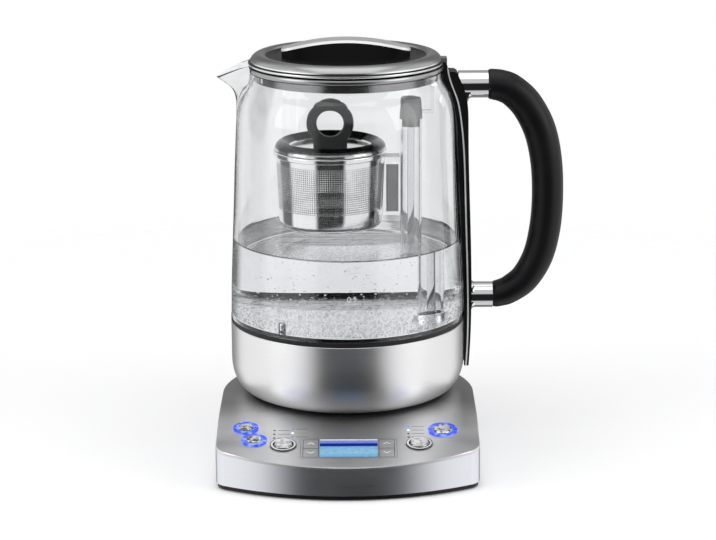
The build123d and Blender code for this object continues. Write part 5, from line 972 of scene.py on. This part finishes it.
def halo_material():
    """Lit blue rings, deep in the middle and paler at the inner edge, with painted pale glints in streaks."""
    material, tree, shader, position = new_material("halo_blue")
    # painted glints: pale streaks in the rings' light
    glints = grain(tree, position, 240, 1.0).outputs["Value"]
    inner = near_rings(tree, position, HALOS, *HALO_INSIDE)
    pale = maths(tree, "MULTIPLY_ADD", inner, 0.35, mapped(tree, glints, 0.42, 0.9))
    set_inputs(shader, {"Emission Color": mixed(tree, pale, colours().halo, (0.42, 0.60, 1.0)),
                        "Emission Strength": 0.6, "Base Color": (0.02, 0.04, 0.3, 1),
                        "Roughness": mapped(tree, glints, to_low=0.08, to_high=0.16)})
    return material


def led_material():
    """Light pipes, of which a few are lit; the unlit ones carry a faint painted glow."""
    material, tree, shader, position = new_material("indicator_pipes")
    glow = mixed(tree, grain(tree, position, 500).outputs["Value"], (0.012, 0.012, 0.014), (0.03, 0.03, 0.035))
    for (x, y), tone in zip((*LEDS_MIDDLE, *LEDS_RIGHT), LED_TONES):
        spot = Vector(panel_point(x, y)) * MM
        glow = mixed(tree, near(tree, position, spot, *LED_EDGE), glow, tone)
    set_inputs(shader, {"Emission Color": glow, "Emission Strength": 0.9, "Base Color": glow, "Roughness": 0.2})
    return material


def panel_material():
    """Finely brushed panel with painted shade in the middle and towards the rear under the jug, and the halos' blue
    glow painted on it.
    """
    material = metal("panel_steel", colours().panel_steel, 0.34, (25, 3200, 3200), bump=0.05, tint=0.07,
                     brushed=("Y", 0.6))
    tree, shader, position = parts_of(material)
    glow = near_rings(tree, position, HALOS, *HALO_SPREAD)
    set_inputs(shader, {"Emission Color": mixed(tree, glow, (0, 0, 0), (0.07, 0.12, 0.75)), "Emission Strength": 0.22})
    shaded(material, near(tree, position, *PANEL_SHADE), 0.68)
    return shaded(material, mapped(tree, along(tree, position, "Y"), *PANEL_REAR_SHADE), 0.5)


def trim_ring_material():
    """Chrome rings with a line of painted shade along both edges."""
    material = metal("ring_grey", (0.62, 0.62, 0.63), 0.16, (60, 60, 60))
    tree, _, position = parts_of(material)
    outer, inner = (near_rings(tree, position, TRIMS, *edge) for edge in (TRIM_OUTSIDE, TRIM_INSIDE))
    return shaded(material, maths(tree, "SUBTRACT", 1.0, maths(tree, "SUBTRACT", outer, inner)), 0.12)


def basket_lid_material():
    """Polished lid with a painted dark reflection in a ring round its middle."""
    material = metal("basket_lid_steel", (0.80, 0.80, 0.80), 0.08, (60, 60, 60), **{**POLISHED, "tint": 0.03})
    tree, _, position = parts_of(material)
    radius = round_axis(tree, position, (BASKET_X * MM, 0)).outputs["Radius"]
    return shaded(material, range_mask(tree, radius, *LID_DARK_REFLECTION, 0.0004), 0.04)


def basket_steel_material():
    """Polished steel with a painted dark reflection on the inner slope of the rim."""
    material = metal("basket_steel", (0.93, 0.93, 0.93), 0.09, (1.0, 1800, 1800), (BASKET_X * MM, 0), streak=0.03,
                     marks=0.03, tint=0.04)
    tree, _, position = parts_of(material)
    radius = round_axis(tree, position, (BASKET_X * MM, 0)).outputs["Radius"]
    inner = range_mask(tree, radius, 0.0, RIM_SLOPE_RADIUS, 0.0003)
    upper = range_mask(tree, along(tree, position, "Z"), RIM_SLOPE_FOOT, 0.3, 0.0003)
    return shaded(material, maths(tree, "MULTIPLY", inner, upper), 0.05)


def plate_material():
    """Steel heating plate with fine scale on it, and painted shade in a streaked patch near its far side."""
    material = metal("plate_steel", (0.97, 0.97, 0.98), 0.22, (1.0, 1800, 1800), (0, 0), streak=0.06, bump=0.05,
                     marks=0.06, tint=0.08)
    tree, _, position = parts_of(material)
    shaded(material, mapped(tree, grain(tree, position, 900).outputs["Value"], 0.66, 0.9), 0.25)
    streaks = grain(tree, position, (10, 420, 0), 1.0, 0.1).outputs["Value"]
    return shaded(material, maths(tree, "MULTIPLY", near_oval(tree, position, *PLATE_SHADE), streaks), 0.2)


def button_material(name, tone, dark):
    """Polished buttons with painted dark and bright patches that stand in for reflections."""
    material = metal(name, (tone, tone, tone), 0.14, (60, 60, 60), **POLISHED)
    tree, _, position = parts_of(material)
    # painted glints and dark reflections in the base colour
    return shaded(material, mapped(tree, grain(tree, position, 330, 1.0).outputs["Value"], 0.45, 0.7), dark)


def collar_material():
    """Polished collar with painted shade in bands: a shadow line under the lid ring, a dark groove between its beads,
    a darker lower bead, a dark line above the skirt and a darker lower skirt.
    """
    material = metal("collar_steel", (0.78, 0.78, 0.78), 0.24, (40, 40, 40), **POLISHED)
    return banded(material, COLLAR_SHADE_BANDS)


def lid_ring_material():
    """Satin lid ring with a painted highlight on its lower edge, darker above it."""
    # tone of the painted highlight on the ring's lower edge
    edge = 0.95
    material = metal("lid_satin", (edge, edge, edge), 0.26, (1.0, 2600, 2600), (0, 0), bump=0.05, marks=0.04,
                     brushed=("Z", 0.6))
    return banded(material, [(LID_RING_HIGHLIGHT_TOP, LID_RING_TOP, colours().lid_steel[0] / edge)])


class TEAMAKER_OT_finishes(PieceOperator):
    """Finishes of the pieces that come with the frame"""
    bl_idname = "teamaker.finishes"
    bl_label = "Finishes"

    def execute(self, context):
        tone = colours()
        worn = {
            "base_band": metal("band_steel", tone.band_steel, 0.28, (4, 4, 3400), streak=0.02, bump=0.015, marks=0.04,
                               tint=0.02, brushed=("Z", 0.6)),
            "base_top_panel display_bezel key_left_up key_left_down key_right_up key_right_down": panel_material(),
            "display_lens display_module": display_material(),
            "lit_rings": halo_material(),
            "trim_rings": trim_ring_material(),
            "indicator_leds": led_material(),
            "start_button programme_button strength_button": button_material("glint_chrome", 0.82, 0.2),
            "temperature_button timer_button": button_material("satin_chrome", 0.52, 0.6),
            "foot_ring cord_gland": plastic("foot_black", (0.02, 0.02, 0.02), 0.6, 700, 0.15),
            "base_pan handle_spine spine_cover hinge_block jug_bottom_cover jug_connector base_connector":
                plastic("satin_black", tone.black, 0.36, specular=0.35),
            "base_contacts": metal("contact_brass", (0.75, 0.58, 0.28), 0.2, (300, 300, 300)),
            "base_screws jug_screws": metal("screw_zinc", (0.6, 0.6, 0.6), 0.3, (600, 600, 600)),
            "control_board power_board": plastic("board_green", (0.02, 0.11, 0.05), 0.4, 500, 0.1),
            "heating_plate": plate_material(),
            "heating_element": metal("heater_metal", (0.6, 0.6, 0.6), 0.4, (200, 200, 200)),
            "temperature_probe": metal("probe_steel", (0.80, 0.80, 0.80), 0.15, (300, 300, 300)),
            "glass_seal lid_seal": plastic("seal_black", (0.012, 0.012, 0.013), 0.5, specular=0.3),
            "collar": collar_material(),
            "upper_ferrule lower_ferrule hinge_pin": metal("bright_chrome", tone.chrome, 0.07, (40, 40, 40),
                                                           **POLISHED),
            "spine_trim": plastic("trim_pale", (0.74, 0.74, 0.75), 0.3),
            "column_tube column_stay basket_bracket guide_rod": clear("clear_tube", (0.97, 0.975, 0.98), 0.02, 1.45),
            "column_cap": plastic("mid_grey", tone.grey, 0.5),
            "magnet_block": plastic("block_grey", (0.46, 0.46, 0.47), 0.4),
            "basket_cup basket_rim": basket_steel_material(),
            "basket_lid": basket_lid_material(),
            "basket_lid_grip": plastic("dark_grey", (0.055, 0.055, 0.056), 0.45),
            "lid_ring": lid_ring_material(),
            "lid_dish": plastic("dish_black", (0.006, 0.006, 0.007), 0.25, 1200, 0.02, 0.03, ior=1.15),
            "lid_inner_plate": metal("inner_steel", (0.34, 0.34, 0.34), 0.35, (1.0, 1800, 1800), (0, 0), streak=0.08,
                                     bump=0.08, marks=0.06, tint=0.1),
            "lid_knob": plastic("gloss_black", (0.002, 0.002, 0.002), 0.35, 900, 0.02, 0.03, ior=1.12),
            "lid_knob_cap": metal("cap_brushed", (0.74, 0.74, 0.74), 0.5, (30, 3000, 3000), bump=0.06, marks=0.04,
                                  tint=0.08),
        }
        left = set(NODES) - {"jug_glass", "jug_skirt", "handle_grip", "basket_mesh"}
        for names, material in worn.items():
            for name in names.split():
                mesh = NODES[name].data
                mesh.materials.clear()
                mesh.materials.append(material)
                left.discard(name)
        if left:
            raise RuntimeError(f"nodes without a finish: {sorted(left)}")
        return {"FINISHED"}


# ======================= stage =======================
def studio_world():
    """White for the camera, bright sides with dark ends for surfaces, and a pale rear through the glass."""
    world = bpy.data.worlds.new("studio")
    bpy.context.scene.world = world
    world.use_nodes = True
    tree = world.node_tree
    tree.nodes.clear()
    x, y, z = node(tree, "ShaderNodeSeparateXYZ", {0: node(tree, "ShaderNodeTexCoord").outputs["Generated"]}).outputs
    turn = maths(tree, "ABSOLUTE", maths(tree, "ARCTAN2", x, maths(tree, "MULTIPLY", y, -1.0)))
    turn = maths(tree, "DIVIDE", turn, pi)
    low_band = ramp(tree, mapped(tree, z, -1.0), LOW_BAND)

    def around(low, high):
        return mixed(tree, low_band, ramp(tree, turn, high), ramp(tree, turn, low))

    def background(colour):
        return node(tree, "ShaderNodeBackground", {"Color": colour, "Strength": 1.0}).outputs[0]

    def either(ray, no, yes):
        return node(tree, "ShaderNodeMixShader", {0: path.outputs[ray], 1: no, 2: yes}).outputs[0]

    path = node(tree, "ShaderNodeLightPath")
    overhead = mapped(tree, z, OVERHEAD_FROM, OVERHEAD_FULL, step="SMOOTHSTEP")
    studio = background(mixed(tree, overhead, around(STUDIO_LOW, STUDIO_HIGH), OVERHEAD_GREY))
    inside = either("Is Transmission Ray", studio, background(around(THROUGH_LOW, THROUGH_HIGH)))
    set_inputs(node(tree, "ShaderNodeOutputWorld"), {0: either("Is Camera Ray", inside, background((1, 1, 1, 1)))})


def floor_material():
    """Pale floor that keeps the object's shadow and meets the white background."""
    material, tree, shader, position = new_material("pale_floor")
    tinted(tree, shader, colours().floor, grain(tree, position, 3).outputs["Value"], 0.995, 1.0)
    seen = node(tree, "ShaderNodeLightPath").outputs["Is Camera Ray"]
    reach = vector_maths(tree, "LENGTH", position)
    set_inputs(shader, {"Emission Color": (1, 1, 1, 1), "Emission Strength": maths(tree, "MULTIPLY", seen, FLOOR_LIFT),
                        "Alpha": mapped(tree, reach, *FLOOR_FADE, 1.0, 0.0, "SMOOTHSTEP"), "Roughness": 0.7,
                        "Specular IOR Level": 0.0})
    return material


def soft_light(name, place, aim_z, size, power):
    """A large soft light that points at the axis at a height, in metres."""
    lamp = bpy.data.lights.new(name, "AREA")
    lamp.shape, lamp.size, lamp.size_y, lamp.energy = "RECTANGLE", size[0], size[1], power
    made = bpy.data.objects.new(name, lamp)
    made.location = place
    made.rotation_euler = (Vector((0, 0, aim_z)) - Vector(place)).to_track_quat("-Z", "Y").to_euler()
    bpy.context.scene.collection.objects.link(made)


class TEAMAKER_OT_stage(PieceOperator):
    """Pale floor, soft light and the camera"""
    bl_idname = "teamaker.stage"
    bl_label = "Stage"

    def execute(self, context):
        corners = [(x * FLOOR_REACH, y * FLOOR_REACH, 0) for x, y in ((-1, -1), (1, -1), (1, 1), (-1, 1))]
        floor = add_mesh("floor", corners, [(0, 1, 2, 3)], floor_material())
        floor.visible_glossy = False
        floor.visible_transmission = False
        studio_world()
        for light in LIGHTS:
            soft_light(*light)
        lens = bpy.data.cameras.new("camera")
        lens.lens = sizes().lens
        lens.clip_start, lens.clip_end = 0.05, 50
        camera = bpy.data.objects.new("camera", lens)
        bpy.context.scene.collection.objects.link(camera)
        tilt, distance = sizes().camera_tilt, sizes().camera_distance
        place = (CAMERA_X, -distance * cos(tilt), CAMERA_AIM_Z + distance * sin(tilt))
        camera.location = Vector(place) * MM
        camera.rotation_mode = "ZYX"
        camera.rotation_euler = Euler((pi / 2 - tilt, 0, radians(CAMERA_ROLL)), "ZYX")
        bpy.context.scene.camera = camera
        bpy.context.scene.view_settings.view_transform = "Standard"
        return {"FINISHED"}


class TEAMAKER_PT_panel(bpy.types.Panel):
    """Lists the pieces that the script builds"""
    bl_label = "Tea maker"
    bl_idname = "TEAMAKER_PT_panel"
    bl_space_type = "VIEW_3D"
    bl_region_type = "UI"
    bl_category = "Tea maker"

    def draw(self, context):
        for piece in PIECES:
            self.layout.operator(piece.bl_idname)
        self.layout.operator(TEAMAKER_OT_stage.bl_idname)
        for group in (context.scene.tea_maker_sizes, context.scene.tea_maker_colours):
            for key in group.bl_rna.properties.keys():
                if key not in {"rna_type", "name"}:
                    self.layout.prop(group, key)


PIECES = (TEAMAKER_OT_glass, TEAMAKER_OT_water, TEAMAKER_OT_bubbles, TEAMAKER_OT_marks, TEAMAKER_OT_skirt,
          TEAMAKER_OT_grip, TEAMAKER_OT_basket_mesh, TEAMAKER_OT_controls, TEAMAKER_OT_finishes)
CLASSES = (TeaMakerSizes, TeaMakerColours, *PIECES, TEAMAKER_OT_stage, TEAMAKER_PT_panel)


def register():
    """Register the classes and the properties."""
    for item in CLASSES:
        bpy.utils.register_class(item)
    bpy.types.Scene.tea_maker_sizes = PointerProperty(type=TeaMakerSizes)
    bpy.types.Scene.tea_maker_colours = PointerProperty(type=TeaMakerColours)


def unregister():
    """Remove the properties and the classes."""
    del bpy.types.Scene.tea_maker_colours
    del bpy.types.Scene.tea_maker_sizes
    for item in reversed(CLASSES):
        bpy.utils.unregister_class(item)


def main():
    """Build every piece and the stage."""
    register()
    for item in (*PIECES, TEAMAKER_OT_stage):
        area, name = item.bl_idname.split(".")
        getattr(getattr(bpy.ops, area), name)()


if __name__ == "__main__":
    main()
